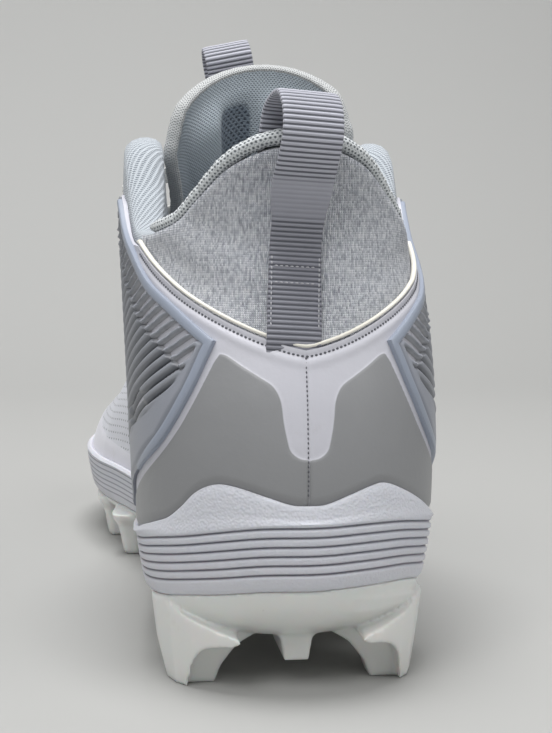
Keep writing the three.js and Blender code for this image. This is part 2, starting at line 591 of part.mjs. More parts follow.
// A ribbon of even thickness along a path in the Y-Z plane, as wide as a pull loop.
function ribbon(points) {
  const path = new THREE.CatmullRomCurve3(points.map(([y, z]) => new THREE.Vector3(y, z, 0)), false, "centripetal");
  const spots = path.getSpacedPoints(26);
  const side = (sign) => spots.map((point, i) => {
    const way = spots[Math.min(i + 1, spots.length - 1)].clone().sub(spots[Math.max(i - 1, 0)]).normalize();
    return new THREE.Vector2(point.x - sign * way.y * ribbonThickness / 2, point.y + sign * way.x * ribbonThickness / 2);
  });
  const shape = new THREE.Shape([...side(1), ...side(-1).toReversed()]);
  const geometry = new THREE.ExtrudeGeometry(shape, { depth: ribbonWidth, bevelEnabled: false });
  const turned = new THREE.Matrix4().makeBasis(new THREE.Vector3(0, 1, 0), new THREE.Vector3(0, 0, 1),
    new THREE.Vector3(1, 0, 0));
  return geometry.translate(0, 0, -ribbonWidth / 2).applyMatrix4(turned);
}

const heelLoopRoll = 3.5;

function makeHeelLoop() {
  const outside = (z, out) => {
    const point = upperPoint(0, upAt(0, z), clearance + ribbonThickness / 2 + out);
    return [point.y, point.z];
  };
  const edge = upperPoint(0, 1);
  const inside = edge.y + wallAt(0, 1) + clearance + ribbonThickness;
  const start = counterTop + pipingWidth + 3.6;
  const geometry = ribbon([
    outside(start, 0.2), outside(0.71 * collarHeight, 0.3), outside(0.76 * collarHeight, 0.4),
    outside(0.82 * collarHeight, 0.6),
    outside(0.9 * collarHeight, 4.5), [edge.y - 10.5, 0.5 * (collarHeight + heelLoopTop) - 6],
    [edge.y - 9.5, heelLoopTop - 5], [edge.y - 4, heelLoopTop - ribbonThickness / 2],
    [inside - 2, heelLoopTop - 3.5], [inside + 1.2, collarHeight + 2], [inside + 2.8, collarHeight - 6],
    [inside + 3.4, collarHeight - 15],
  ]);
  const roll = new THREE.Matrix4().makeRotationY(radians(heelLoopRoll));
  return solidOf(geometry.translate(0, 0, -0.74 * collarHeight).applyMatrix4(roll)
    .translate(0, 0, 0.74 * collarHeight));
}

// Tongue: a padded strip from inside the vamp up through the throat, wrapped round the front of the ankle.
// y and high: its centre line. half: half its width. wrap: how far its edges bend back.
const tongueLine = [
  { share: 0, y: 0.205 * soleLength, high: 0.86 * instepHeight, half: 0.39 * tongueWidth, wrap: 7 },
  { share: 0.12, y: 0.15 * soleLength, high: 0.985 * instepHeight, half: 0.42 * tongueWidth, wrap: 8 },
  { share: 0.28, y: 0.083 * soleLength, high: 1.13 * instepHeight, half: 0.43 * tongueWidth, wrap: 9 },
  { share: 0.45, y: 0.003 * soleLength, high: 1.31 * instepHeight, half: 0.44 * tongueWidth, wrap: 10 },
  { share: 0.6, y: -0.062 * soleLength, high: 0.72 * tongueTop, half: 0.455 * tongueWidth, wrap: 12 },
  { share: 0.72, y: -0.103 * soleLength, high: 0.8 * tongueTop, half: 0.44 * tongueWidth, wrap: 13 },
  { share: 0.85, y: -0.132 * soleLength, high: 0.89 * tongueTop, half: 0.485 * tongueWidth, wrap: 15 },
  { share: 1, y: -0.15 * soleLength, high: tongueTop, half: 0.5 * tongueWidth, wrap: 18 },
];

// The tongue's front face. across: from -1 at the inner edge to 1 at the outer edge.
function tongueFace(across, share) {
  const reach = share * (1 - (0.11 * (across - 0.12) ** 2) * share ** 2);
  const row = (column) => along(tongueLine, "share", column, reach);
  const middle = THREE.MathUtils.clamp(reach, 0.01, 0.99);
  const change = (column) => along(tongueLine, "share", column, middle + 0.01)
    - along(tongueLine, "share", column, middle - 0.01);
  const [dy, dz] = [change("y"), change("high")];
  const long = Math.hypot(dy, dz);
  const bend = radians(70);
  const drop = row("wrap") * (1 - Math.cos(across * bend)) / (1 - Math.cos(bend));
  const x = row("half") * Math.sin(across * bend) / Math.sin(bend) + throatShift(row("y"));
  return new THREE.Vector3(x, row("y") - drop * dz / long, row("high") + drop * dy / long);
}

// How far the throat's middle is off to the outer side at a place along the sole.
function throatShift(y) {
  const turn = THREE.MathUtils.radToDeg(Math.acos(-y / halfLength));
  return (face(turn, 1).x + face(-turn, 1).x) / 2;
}

// The direction from the tongue's front face into the shoe.
const tongueInward = (across, share) => outward(tongueFace, across, share, 0.01, 0.01, 1);

function makeTongue() {
  const place = (u, v, offset) => {
    const across = 2 * u - 1;
    const share = v;
    const normal = tongueInward(across, share);
    const pod = Math.max(0, Math.sin(Math.PI * Math.min(1, Math.abs(across) * 1.25))) * ease(share, 0.5, 0.7)
      * (1 - ease(share, 0.88, 0.97));
    const edge = 1 - 0.55 * Math.abs(across) ** 4;
    const depth = offset * (edge * tongueThickness + tonguePad * pod);
    return tongueFace(across, share).addScaledVector(normal, depth);
  };
  return slab(place, 0, 1, 12, 16);
}

// Tongue pull loop: a short ribbon, open above the tongue, its ends lying on the tongue's front.
const tongueLoopAcross = -0.13 * tongueWidth;
const tongueLoopRoll = 12;

function makeTongueLoop() {
  const front = tongueFace(2 * tongueLoopAcross / tongueWidth, 0.98);
  const foot = tongueFace(2 * tongueLoopAcross / tongueWidth, 0.84);
  const off = clearance + ribbonThickness;
  const geometry = ribbon([
    [foot.y + off + 1.6, foot.z], [front.y + off + 1.8, front.z - 4],
    [front.y + off + 2.2, front.z + 3], [front.y + off + 1, front.z + 0.7 * tongueLoopHeight],
    [front.y + off + 5, front.z + tongueLoopHeight], [front.y + off + 10.5, front.z + 0.7 * tongueLoopHeight],
    [front.y + off + 11, front.z + 1], [front.y + off + 8, front.z - 9], [foot.y + off + 5, foot.z - 2],
  ]);
  const roll = new THREE.Matrix4().makeRotationY(radians(-tongueLoopRoll));
  geometry.translate(0, 0, -front.z).applyMatrix4(roll).translate(tongueLoopAcross, 0, front.z);
  return solidOf(geometry);
}

// Eyelets and lace
const topEyelet = 74; // "around" of the highest pair
const lowEyelet = throatEnd - 8;
const eyeletTurns = Array.from({ length: eyeletPairs },
  (_, i) => THREE.MathUtils.lerp(topEyelet, lowEyelet, i / (eyeletPairs - 1)));
const eyeletUp = 0.9;

function eyeletFrame(around) {
  const centre = upperPoint(around, eyeletUp);
  const normal = upperPoint(around, eyeletUp, 1).sub(centre);
  const turn = new THREE.Quaternion().setFromUnitVectors(new THREE.Vector3(0, 1, 0), normal);
  return { centre, turn };
}

function turnedProfile(profile, around) {
  const { centre, turn } = eyeletFrame(around);
  const geometry = new THREE.LatheGeometry(profile.map(([r, h]) => new THREE.Vector2(r, h)), 10);
  return geometry.applyQuaternion(turn).translate(centre.x, centre.y, centre.z);
}

function eyeletHoles() {
  const reach = upperWall + collarPad;
  const profile = [[0, -reach], [eyeletBarrel + clearance, -reach], [eyeletBarrel + clearance, 4], [0, 4]];
  return union(eyeletTurns.flatMap((turn) => [turn, -turn]).map((around) => solidOf(turnedProfile(profile, around))));
}

function makeEyelet(around) {
  const seat = eyestayGap + overlayWall + clearance;
  const deep = -upperWall;
  return solidOf(turnedProfile([
    [eyeletHole, deep], [eyeletBarrel, deep], [eyeletBarrel, seat], [eyeletFlange, seat],
    [eyeletFlange - 0.4, seat + 0.7], [eyeletHole + 0.3, seat + 0.7], [eyeletHole, deep],
  ], around));
}

function makeEyestay(side) {
  const from = side > 0 ? 70 : -(throatEnd - 2);
  const to = side > 0 ? throatEnd - 2 : -70;
  return overlay(from, to, () => 0.79, () => 0.985, overlayWall, 16, 2, eyestayGap).subtract(eyeletHoles());
}

// A lace bar from one eyelet over the tongue to an eyelet on the other side.
function laceBar(fromTurn, toTurn) {
  const above = eyestayGap + overlayWall + 0.7 + 3 * clearance + laceThickness / 2;
  const spots = [];
  const onUpper = (around, up, lift) => {
    const point = upperPoint(around, up, above + lift);
    spots.push({ point, normal: point.clone().sub(upperPoint(around, up, above + lift - 1)) });
  };
  const onTongue = (across, y) => {
    const share = tongueShareAt(y);
    const normal = tongueInward(across, share).negate();
    spots.push({ point: tongueFace(across, share).addScaledVector(normal, laceThickness / 2 + 8 * clearance), normal });
  };
  const [fromY, toY] = [upperPoint(fromTurn, 1).y, upperPoint(toTurn, 1).y];
  onUpper(fromTurn, eyeletUp, 0);
  onUpper(fromTurn + 0.06 * (-toTurn - fromTurn), 1, 1);
  onTongue(0.36 * Math.sign(fromTurn), THREE.MathUtils.lerp(fromY, toY, 0.34));
  onTongue(0, THREE.MathUtils.lerp(fromY, toY, 0.5));
  onTongue(0.36 * Math.sign(toTurn), THREE.MathUtils.lerp(fromY, toY, 0.66));
  onUpper(toTurn + 0.06 * (-fromTurn - toTurn), 1, 1);
  onUpper(toTurn, eyeletUp, 0);
  return strap(spots, laceWidth, laceThickness);
}

// A flat strap through points, each with the direction of its upper face.
function strap(spots, width, thickness) {
  const path = new THREE.CatmullRomCurve3(spots.map(({ point }) => point), false, "centripetal");
  const faces = new THREE.CatmullRomCurve3(spots.map(({ normal }) => normal), false, "centripetal");
  const place = (u, v, offset) => {
    const wide = faces.getPoint(u).cross(path.getTangent(u)).normalize();
    const up = path.getTangent(u).cross(wide).normalize();
    return path.getPoint(u).addScaledVector(wide, (v - 0.5) * width).addScaledVector(up, offset);
  };
  return slab(place, -thickness / 2, thickness / 2, 12, 1);
}

function tongueShareAt(y) {
  let share = 0;
  while (share < 1 && tongueFace(0, share).y > y) share += 0.005;
  return share;
}

function makeLace() {
  const lowest = eyeletTurns.at(-1);
  const bars = [laceBar(lowest, -lowest)];
  for (let i = 0; i < eyeletPairs - 1; i++) {
    bars.push(laceBar(eyeletTurns[i], -eyeletTurns[i + 1]), laceBar(eyeletTurns[i + 1], -eyeletTurns[i]));
  }
  return union(bars);
}

// Materials
const matt = (color, roughness) => new THREE.MeshStandardMaterial({ color, roughness, metalness: 0 });
const foam = matt(0xe4e4ea, 0.75);
const plateMoulding = matt(0xe6eae6, 0.35);
const knit = matt(0xb4b8c2, 0.95);
const leather = matt(0xcfcfd6, 0.5);
const webbing = matt(0xb9bac2, 0.85);
const lining = matt(0xc9d0d6, 0.95);
const rib = matt(0xb6bcc8, 0.4);
const trim = matt(0xe9e7de, 0.6);

const shoe = new THREE.Group();
function add(name, solid, material) {
  const mesh = new THREE.Mesh(geometryFrom(solid), material);
  mesh.name = name;
  shoe.add(mesh);
}

add("outsole", makeOutsole(), plateMoulding);
add("midsole", makeMidsole(), foam);
add("insole", makeInsole(), lining);
add("upper", makeUpper(), knit);
add("heel_counter", makeCounter(), leather);
add("heel_piping", makePiping(), trim);
add("side_frame_outer", makeFrame(1), rib);
add("side_frame_inner", makeFrame(-1), rib);
add("collar_binding", makeBinding(), lining);
add("heel_loop", makeHeelLoop(), webbing);
add("tongue", makeTongue(), lining);
add("tongue_loop", makeTongueLoop(), webbing);
add("eyestay_outer", makeEyestay(1), leather);
add("eyestay_inner", makeEyestay(-1), leather);
eyeletTurns.forEach((turn, i) => {
  add(`eyelet_outer_${i + 1}`, makeEyelet(turn), rib);
  add(`eyelet_inner_${i + 1}`, makeEyelet(-turn), rib);
});
add("lace", makeLace(), trim);

export default shoe;
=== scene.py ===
"""An American football cleat for the right foot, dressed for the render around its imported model.

Sizes are in millimetres until surface() and stitches() make forms in metres. +Z is up, the toe is towards +Y
and the outer side of the foot is at +X.
"""
import math
import bmesh
import bpy
import numpy as np
from mathutils import Matrix, Vector


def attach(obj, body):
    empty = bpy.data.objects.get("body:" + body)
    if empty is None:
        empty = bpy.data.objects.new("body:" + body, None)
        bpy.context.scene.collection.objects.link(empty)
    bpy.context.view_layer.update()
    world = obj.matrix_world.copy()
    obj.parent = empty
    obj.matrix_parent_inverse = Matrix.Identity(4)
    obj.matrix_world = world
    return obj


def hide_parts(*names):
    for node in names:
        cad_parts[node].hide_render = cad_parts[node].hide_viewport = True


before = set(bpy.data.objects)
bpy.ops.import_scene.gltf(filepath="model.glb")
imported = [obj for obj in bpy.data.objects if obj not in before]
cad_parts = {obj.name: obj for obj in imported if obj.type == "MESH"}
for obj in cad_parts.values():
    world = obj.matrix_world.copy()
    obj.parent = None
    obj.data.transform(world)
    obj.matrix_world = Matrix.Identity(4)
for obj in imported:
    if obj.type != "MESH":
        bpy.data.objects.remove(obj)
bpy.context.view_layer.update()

# The driving sizes of the shoe, in millimetres, and the functions that give its surfaces: the same as the
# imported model's. "around" is an angle in degrees, 0 at the heel's back, 180 at the toe's tip, positive on the
# outer side. "up" runs from 0 at the foot of the upper to 1 at its top edge.
sole_length, heel_width, ball_width = 300, 79, 104
heel_bowl_height, ball_stud_height = 11.5, 13
heel_split, ball_split, heel_ledge, ball_ledge = 28.5, 17, 46, 31.5
heel_footbed, ball_footbed, plate_wall = 36, 24, 3
wave_peak, wave_valley, groove_count = 54.5, 50, 6
foam_lip, foam_undercut, foam_rim = 2.8, 4.2, 1.8
collar_height, side_height, instep_height, toe_height, toe_tip_height = 137, 140, 80, 54, 36
throat_end, upper_wall, overlay_wall, collar_pad, clearance = 112, 2.4, 1.2, 9, 0.3
binding_radius, binding_end, counter_top, piping_width = 2.4, 43, 87, 1.8
side_lean, inner_lean, insole_thickness = 4, 2.4, 4.5
heel_half, ball_half, half_length = heel_width / 2, ball_width / 2, sole_length / 2

COLUMNS = ("turn", "half", "bend", "split", "ledge", "foot", "wave", "top", "gap", "arc", "bulge", "pad")
# The sizes that each column is a share of, in the rows by the heel and in the rows by the ball of the foot
BY_HEEL = (1, heel_half, ball_half, heel_split, heel_ledge, heel_footbed, heel_ledge, 1, heel_half, 1,
           heel_width, 1)
BY_BALL = (1, ball_half, ball_half, ball_split, ball_ledge, ball_footbed, ball_ledge, 1, heel_half, 1,
           ball_width, 1)
valley, peak = wave_valley / heel_ledge, wave_peak / heel_ledge
SECTIONS = np.vstack([np.multiply([
    (0, 1.9, 0, 1, 1, 1, valley, collar_height, 1.57, 35, 0, 0.42),
    (9, 1.875, 0, 1, 1, 1, 0.5 * valley + 0.5 * peak, 0.99 * collar_height, 1.56, 35, 0.002, 0.42),
    (17, 1.83, 0, 0.97, 0.978, 1, peak, 0.96 * collar_height, 1.555, 35, 0.004, 0.42),
    (25, 1.77, 0, 0.93, 0.94, 0.99, 0.7 + 0.3 * peak, 0.9 * collar_height, 1.545, 35, 0.008, 0.42),
    (33, 1.66, 0, 0.86, 0.895, 0.96, 0.925, 0.855 * collar_height, 1.48, 35, 0.012, 0.44),
    (47, 1.37, 0, 0.755, 0.793, 0.883, 0.826, 0.848 * collar_height, 1.3, 36, 0.014, 0.55),
    (54, 1.24, 0.005, 0.712, 0.752, 0.844, 0.783, 0.895 * side_height, 1.22, 38, 0.014, 0.85),
    (60, 1.155, 0.01, 0.684, 0.727, 0.817, 0.759, 0.98 * side_height, 1.17, 40, 0.015, 1),
    (66, 1.07, 0.02, 0.667, 0.716, 0.794, 0.747, side_height, 1.09, 43, 0.018, 0.9),
    (73, 0.99, 0.03, 0.653, 0.709, 0.775, 0.738, 0.952 * side_height, 0.94, 49, 0.022, 0.6),
    (81, 0.95, 0.045, 0.639, 0.704, 0.758, 0.731, 0.85 * side_height, 0.78, 57, 0.026, 0.2),
    (90, 0.975, 0.05, 0.628, 0.7, 0.744, 0.726, 1.34 * instep_height, 0.66, 64, 0.028, 0),
], BY_HEEL), np.multiply([
    (101, 0.86, 0.035, 1.035, 1.02, 1.08, 1.06, 1.15 * instep_height, 0.58, 72, 0.022, 0),
    (112, 1.035, 0.02, 1, 1, 1, 1.045, instep_height, 0.55, 90, 0.02, 0),
    (122, 1.18, 0, 1, 1, 1, 1.045, 1.32 * toe_height, 0, 90, 0.014, 0),
    (135, 1.335, -0.03, 1.03, 1.02, 1.02, 1.065, 1.18 * toe_height, 0, 90, 0.012, 0),
    (150, 1.46, -0.08, 1.15, 1.08, 1.09, 1.11, 1.08 * toe_height, 0, 90, 0.01, 0),
    (165, 1.52, -0.12, 1.32, 1.16, 1.2, 1.18, 0.48 * toe_height + 0.7 * toe_tip_height, 0, 90, 0.004, 0),
    (180, 1.53, -0.135, 1.42, 1.17, 1.26, 1.2, 1.24 * toe_tip_height, 0, 90, 0, 0),
], BY_BALL)])
# The back of the heel from the side: height above the floor, and how far forward of the foot line.
HEEL_LINE = np.array([
    (heel_footbed, 0.008 * sole_length), (wave_peak, 0), (0.83 * counter_top, 0.006 * sole_length),
    (counter_top, 0.02 * sole_length), (0.74 * collar_height, 0.037 * sole_length),
    (0.84 * collar_height, 0.049 * sole_length), (0.92 * collar_height, 0.049 * sole_length),
    (1.04 * collar_height, 0.036 * sole_length),
])


def along(keys, values, at):
    """A smooth curve through a table's column."""
    slope = np.empty(len(keys))
    slope[1:-1] = (values[2:] - values[:-2]) / (keys[2:] - keys[:-2])
    slope[0] = (values[1] - values[0]) / (keys[1] - keys[0])
    slope[-1] = (values[-1] - values[-2]) / (keys[-1] - keys[-2])
    i = np.clip(np.searchsorted(keys, at, side="left") - 1, 0, len(keys) - 2)
    span = keys[i + 1] - keys[i]
    t = np.clip((at - keys[i]) / span, 0, 1)
    t2, t3 = t * t, t ** 3
    return ((2 * t3 - 3 * t2 + 1) * values[i] + (t3 - 2 * t2 + t) * span * slope[i]
            + (3 * t2 - 2 * t3) * values[i + 1] + (t3 - t2) * span * slope[i + 1])


def section(around, column):
    return along(SECTIONS[:, 0], SECTIONS[:, COLUMNS.index(column)], np.abs(around))


def ease(value, low, high):
    t = np.clip((value - low) / (high - low), 0, 1)
    return t * t * (3 - 2 * t)


def tilt(around):
    """How much higher the foam's lines run at the heel's outer side, and lower at its inner side."""
    return (1.3 * ease(around, 4, 24) - 1.5 * ease(-around, 0, 30)) * (1 - ease(np.abs(around), 62, 95))


# The foam's top edge at the back on each side: the turn from the heel's middle and the height
WAVE_INNER = np.array([(0, 50.3), (3, 50.5), (8, 52.4), (13, 54.2), (17, 54.8), (20, 53.7), (22.5, 51.6),
                       (25, 48.3), (28.5, 44.7), (32, 42.8), (37, 40.6), (44, 38.5)])
WAVE_OUTER = np.array([(0, 50.3), (3, 50.5), (8, 52.6), (12, 54.2), (15.5, 54.8), (21, 52.2), (27, 48.4),
                       (31, 45.7), (36, 43.1), (44, 40.2)])


def wave_at(around):
    """The height of the foam's top edge."""
    turn = np.abs(around)
    inner, outer = (along(line[:, 0], line[:, 1], turn) for line in (WAVE_INNER, WAVE_OUTER))
    beyond = ease(turn, 36, 46)
    table = section(around, "wave") + tilt(around)
    return np.where(around < 0, inner, outer) * (1 - beyond) + table * beyond


def point(x, y, z):
    return np.stack(np.broadcast_arrays(x, y, z), -1).astype(float)


def outline(around, inset, z):
    angle = np.radians(around)
    x = section(around, "bend") + (section(around, "half") - inset) * np.sin(angle)
    return point(x, -(half_length - inset) * np.cos(angle), z)


def face(around, up):
    """The upper's outer face."""
    turn = np.abs(around)
    side = np.sin(np.radians(around))
    foot = outline(around, foam_lip, section(around, "foot"))
    rise = section(around, "top") - foot[..., 2]
    arc = np.radians(np.minimum(section(around, "arc"), 90))
    throat = np.sqrt(np.clip(1 - (turn / throat_end) ** 12, 0, 1))
    full = 1.05 - 0.3 * ease(turn, throat_end, 150)
    now = np.maximum(np.cos(arc * up), 0) ** full
    last = np.maximum(np.cos(arc), 0) ** full
    share = (now - last) / (1 - last)
    lean = np.where(around > 0, side_lean, inner_lean) * np.sin(np.pi * np.clip((turn - 30) / 70, 0, 1))
    edge = section(around, "bend") + section(around, "gap") * throat * side - lean
    z = foot[..., 2] + rise * np.sin(arc * up) / np.sin(arc)
    swell = section(around, "bulge") * np.sin(np.pi * up) * side
    x = edge + (foot[..., 0] - edge) * share + swell
    inward = along(HEEL_LINE[:, 0], HEEL_LINE[:, 1], z) * np.maximum(0, np.cos(np.radians(around))) ** 1.5
    return point(x, foot[..., 1] + inward, z)


def wrapped(around):
    return (around + 180) % 360 - 180


def unit(vector):
    return vector / np.maximum(np.linalg.norm(vector, axis=-1, keepdims=True), 1e-12)


def upper_point(around, up, out=0.0):
    """A point at a distance outside the upper's outer face, and the direction out of it."""
    around, up, out = (value.astype(float) for value in np.broadcast_arrays(around, up, out))
    ridge = (np.abs(around) >= throat_end) & (up >= 1)
    a = np.where(ridge, np.abs(around), around)
    along_u = face(wrapped(a + 0.5), up) - face(wrapped(a - 0.5), up)
    v1 = np.minimum(up + 0.01, 1)
    along_v = face(wrapped(a), v1) - face(wrapped(a), v1 - 0.02)
    normal = np.cross(along_u, along_v)
    normal[..., 0] = np.where(ridge, 0, normal[..., 0])
    normal = unit(normal)
    return face(around, up) + normal * out[..., None], normal


def up_at(around, z):
    """"up" of a height on the upper."""
    foot = section(around, "foot")
    arc = np.radians(np.minimum(section(around, "arc"), 90))
    share = np.clip((z - foot) / (section(around, "top") - foot), 0, 1)
    return np.arcsin(share * np.sin(arc)) / arc


def upper_at(around, z, out=0.0):
    return upper_point(around, up_at(around, z), out)


def wall_at(around, up):
    return upper_wall + collar_pad * section(around, "pad") * ease(up, 0.45, 0.85)


def counter_edge(around):
    turn = np.abs(around)
    end = section(binding_end, "top") - piping_width - 3 * clearance
    rising = counter_top + (end - counter_top) * np.minimum(turn / binding_end, 1) ** 1.35
    beside = np.minimum(end + 0.95 * (turn - binding_end), section(turn, "top") - 3)
    return np.where(turn <= binding_end, rising, beside)


# Mesh tools

def run_along(points):
    """The distance to each point of a line from its start, or down each column of a grid of points."""
    steps = np.linalg.norm(np.diff(points, axis=0), axis=-1)
    return np.concatenate([np.zeros((1,) + steps.shape[1:]), np.cumsum(steps, axis=0)])


def surface(points, pattern, skip=None, **values):
    """A sheet through rows of points in millimetres. pattern and values: two millimetre coordinates and named
    values of each point, for the material. skip: the faces, by row and column, to leave out."""
    rows, columns = points.shape[:2]
    sheet = bmesh.new()
    bmesh.ops.create_grid(sheet, x_segments=columns - 1, y_segments=rows - 1, size=0.5)
    mesh = bpy.data.meshes.new("draft")
    sheet.to_mesh(mesh)
    flat = np.empty(3 * len(mesh.vertices), np.float32)
    mesh.vertices.foreach_get("co", flat)
    flat = flat.reshape(-1, 3) + 0.5
    i, j = (np.rint(flat[:, k] * (count - 1)).astype(int) for k, count in ((0, columns), (1, rows)))
    mesh.vertices.foreach_set("co", (points[j, i] / 1000).astype(np.float32).ravel())
    corner = np.empty(len(mesh.loops), np.int32)
    mesh.loops.foreach_get("vertex_index", corner)
    layer = mesh.uv_layers.new(name="pattern")
    layer.data.foreach_set("uv", pattern[j, i].astype(np.float32)[corner].ravel())
    for name, value in values.items():
        data = mesh.attributes.new(name, "FLOAT", "POINT").data
        data.foreach_set("value", np.broadcast_to(value, points.shape[:2])[j, i].astype(np.float32))
    first = np.minimum.reduce([j[corner[k::4]] * columns + i[corner[k::4]] for k in range(4)])
    sheet.clear()
    sheet.from_mesh(mesh)
    bpy.data.meshes.remove(mesh)
    if skip is not None:
        gone = np.flatnonzero(skip[first // columns, first % columns])
        sheet.faces.ensure_lookup_table()
        bmesh.ops.delete(sheet, geom=[sheet.faces[k] for k in gone], context="FACES")
    return sheet


def close(form, cap=True, merge=2e-6):
    """Merges the seam, caps the open ends and turns the faces outwards."""
    bmesh.ops.remove_doubles(form, verts=form.verts, dist=merge)
    bmesh.ops.dissolve_degenerate(form, edges=form.edges, dist=1e-7)
    if cap:
        bmesh.ops.holes_fill(form, edges=[e for e in form.edges if e.is_boundary], sides=0)
    if form.calc_volume(signed=True) < 0:
        bmesh.ops.reverse_faces(form, faces=form.faces)
    return form


def thicken(form, thickness):
    """Gives an open sheet a back, at a thickness in millimetres below it."""
    bmesh.ops.solidify(form, geom=form.faces[:], thickness=thickness / 1000)
    if form.calc_volume(signed=True) < 0:
        bmesh.ops.reverse_faces(form, faces=form.faces)
    return form


def add_form(whole, form):
    """Moves a form's faces into another form."""
    mesh = bpy.data.meshes.new("draft")
    form.to_mesh(mesh)
    form.free()
    whole.from_mesh(mesh)
    bpy.data.meshes.remove(mesh)


def piece(name, form, material, slot, *nodes, crease=50):
    """Makes a shown object of a bmesh, riding on the shoe and standing for the nodes named."""
    mesh = bpy.data.meshes.new(name)
    form.to_mesh(mesh)
    form.free()
    mesh.shade_smooth()
    if crease:
        mesh.set_sharp_from_angle(angle=math.radians(crease))
    thing = bpy.data.objects.new(name, mesh)
    bpy.context.scene.collection.objects.link(thing)
    mesh.materials.append(material)
    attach(thing, "root")
    if nodes:
        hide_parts(*nodes)
    return thing


def curve_through(points, count):
    """count points evenly along a smooth curve through the given ones."""
    points = np.asarray(points, float)
    reach = run_along(points)
    dense = np.linspace(0, reach[-1], 40 * len(points))
    line = np.stack([along(reach, points[:, k], dense) for k in range(points.shape[1])], -1)
    run = run_along(line)
    even = np.linspace(0, run[-1], count)
    return np.stack([np.interp(even, run, line[:, k]) for k in range(points.shape[1])], -1)


def tangents(path):
    return unit(np.gradient(path, axis=0))


def sweep(path, normals, profile, width=None, lift=None, **values):
    """A bar along a path. profile: its outline as [across, out] pairs, closed. width and lift scale it along
    the path, and values go with its points."""
    way = tangents(path)
    side = unit(np.cross(way, normals))
    rise = unit(np.cross(side, way))
    width = np.ones(len(path)) if width is None else width
    lift = np.ones(len(path)) if lift is None else lift
    ring = np.vstack([profile, profile[:1]])
    across, out = ring[:, 0] * width[:, None], ring[:, 1] * lift[:, None]
    points = path[:, None] + side[:, None] * across[..., None] + rise[:, None] * out[..., None]
    pattern = np.stack(np.broadcast_arrays(run_along(path)[:, None], run_along(ring)[None]), -1)
    form = surface(points, pattern, **{name: value[:, None] for name, value in values.items()})
    return close(form)


def round_profile(wide, high, sides=16, power=1.0):
    """An oval, or with a power below 1 a rounded rectangle."""
    angle = 2 * np.pi * np.arange(sides) / sides
    curve = lambda value: np.sign(value) * np.abs(value) ** power
    return np.stack([wide / 2 * curve(np.cos(angle)), high / 2 * curve(np.sin(angle))], -1)


def distance_to(line, s, z):
    """The distance from [s, z] to a line through [s, z] pairs, and the signed side of its nearest part."""
    best = np.full(np.shape(s), 1e9)
    sign = np.zeros(np.shape(s))
    for (s0, z0), (s1, z1) in zip(line[:-1], line[1:]):
        ds, dz = s1 - s0, z1 - z0
        t = np.clip(((s - s0) * ds + (z - z0) * dz) / (ds * ds + dz * dz), 0, 1)
        far = np.hypot(s - s0 - t * ds, z - z0 - t * dz)
        turn = (s - s0) * dz - (z - z0) * ds
        nearer = far < best - 1e-9
        sign = np.where(nearer, np.sign(turn), sign)
        best = np.where(nearer, far, best)
    return best, sign


def inside(corners, s, z):
    """How far inside a closed outline a point lies, negative outside."""
    loop = list(corners) + [corners[0]]
    far, _ = distance_to(loop, s, z)
    odd = np.zeros(np.shape(s), bool)
    for (s0, z0), (s1, z1) in zip(loop[:-1], loop[1:]):
        crosses = (z0 > z) != (z1 > z)
        odd ^= crosses & (s < (s1 - s0) * (z - z0) / (z1 - z0 + 1e-12) + s0)
    return np.where(odd, far, -far)


def stitches(rows, length=0.8, gap=0.35, width=0.34, high=0.3):
    """Short thread bars along rows of [path, normals], each on the surface."""
    form = bmesh.new()
    for path, normals in rows:
        run, way = run_along(path), tangents(path)
        for start in np.arange(gap, run[-1] - length, length + gap):
            at = start + length / 2
            spot, out, ahead = (np.array([np.interp(at, run, data[:, k]) for k in range(3)])
                                for data in (path, normals, way))
            ahead = ahead / np.linalg.norm(ahead)
            side = np.cross(ahead, out)
            side /= np.linalg.norm(side)
            out = np.cross(side, ahead)
            turn = Matrix((ahead * length, side * width, out * high)).transposed()
            bar = bmesh.ops.create_icosphere(form, subdivisions=1, radius=0.5)["verts"]
            for vert in bar:
                vert.co = (turn @ vert.co + Vector(spot)) / 1000
    return form


# Materials

class Value:
    """What a node gives. Reckoning with it adds more nodes to its tree."""

    def __init__(self, tree, socket):
        self.tree, self.socket = tree, socket

    def calc(self, operation, *others, **settings):
        return node(self.tree, "Math", dict(enumerate((self,) + others)), operation=operation, **settings)

    def __add__(self, other):
        return self.calc("ADD", other)

    def __sub__(self, other):
        return self.calc("SUBTRACT", other)

    def __rsub__(self, other):
        return node(self.tree, "Math", {0: other, 1: self}, operation="SUBTRACT")

    def __mul__(self, other):
        return self.calc("MULTIPLY", other)

    def __truediv__(self, other):
        return self.calc("DIVIDE", other)

    def part(self, axis):
        """One coordinate of a place."""
        return node(self.tree, "SeparateXYZ", {0: self}, axis)

    def noise(self, scale, detail=2.0, rough=0.5):
        inputs = {"Vector": self, "Scale": scale, "Detail": detail, "Roughness": rough}
        return node(self.tree, "TexNoise", inputs)

    def step(self, low, high):
        """0 up to low, 1 from high on, and eased between them."""
        return node(self.tree, "MapRange", {0: self, 1: low, 2: high, 3: 0.0, 4: 1.0},
                    interpolation_type="SMOOTHSTEP")

    def blend(self, low, high):
        """The colour low at 0, the colour high at 1."""
        return node(self.tree, "Mix", {0: self, 6: low, 7: high}, 2, data_type="RGBA")


def put(tree, value, socket):
    """Joins a value to a socket, or sets the socket to a number or a colour."""
    if isinstance(value, Value):
        tree.links.new(value.socket, socket)
    else:
        socket.default_value = value


def node(tree, kind, inputs=None, out=0, **settings):
    """Adds a node and gives its output out."""
    made = tree.nodes.new("ShaderNode" + kind)
    for key, value in settings.items():
        setattr(made, key, value)
    for key, value in (inputs or {}).items():
        put(tree, value, made.inputs[key])
    return Value(tree, made.outputs[out])


def place_on_shoe(tree):
    return node(tree, "TexCoord", out="Object")


def pattern_place(tree):
    return node(tree, "UVMap", uv_map="pattern")


def attribute(tree, name):
    return node(tree, "Attribute", out="Fac", attribute_name=name)


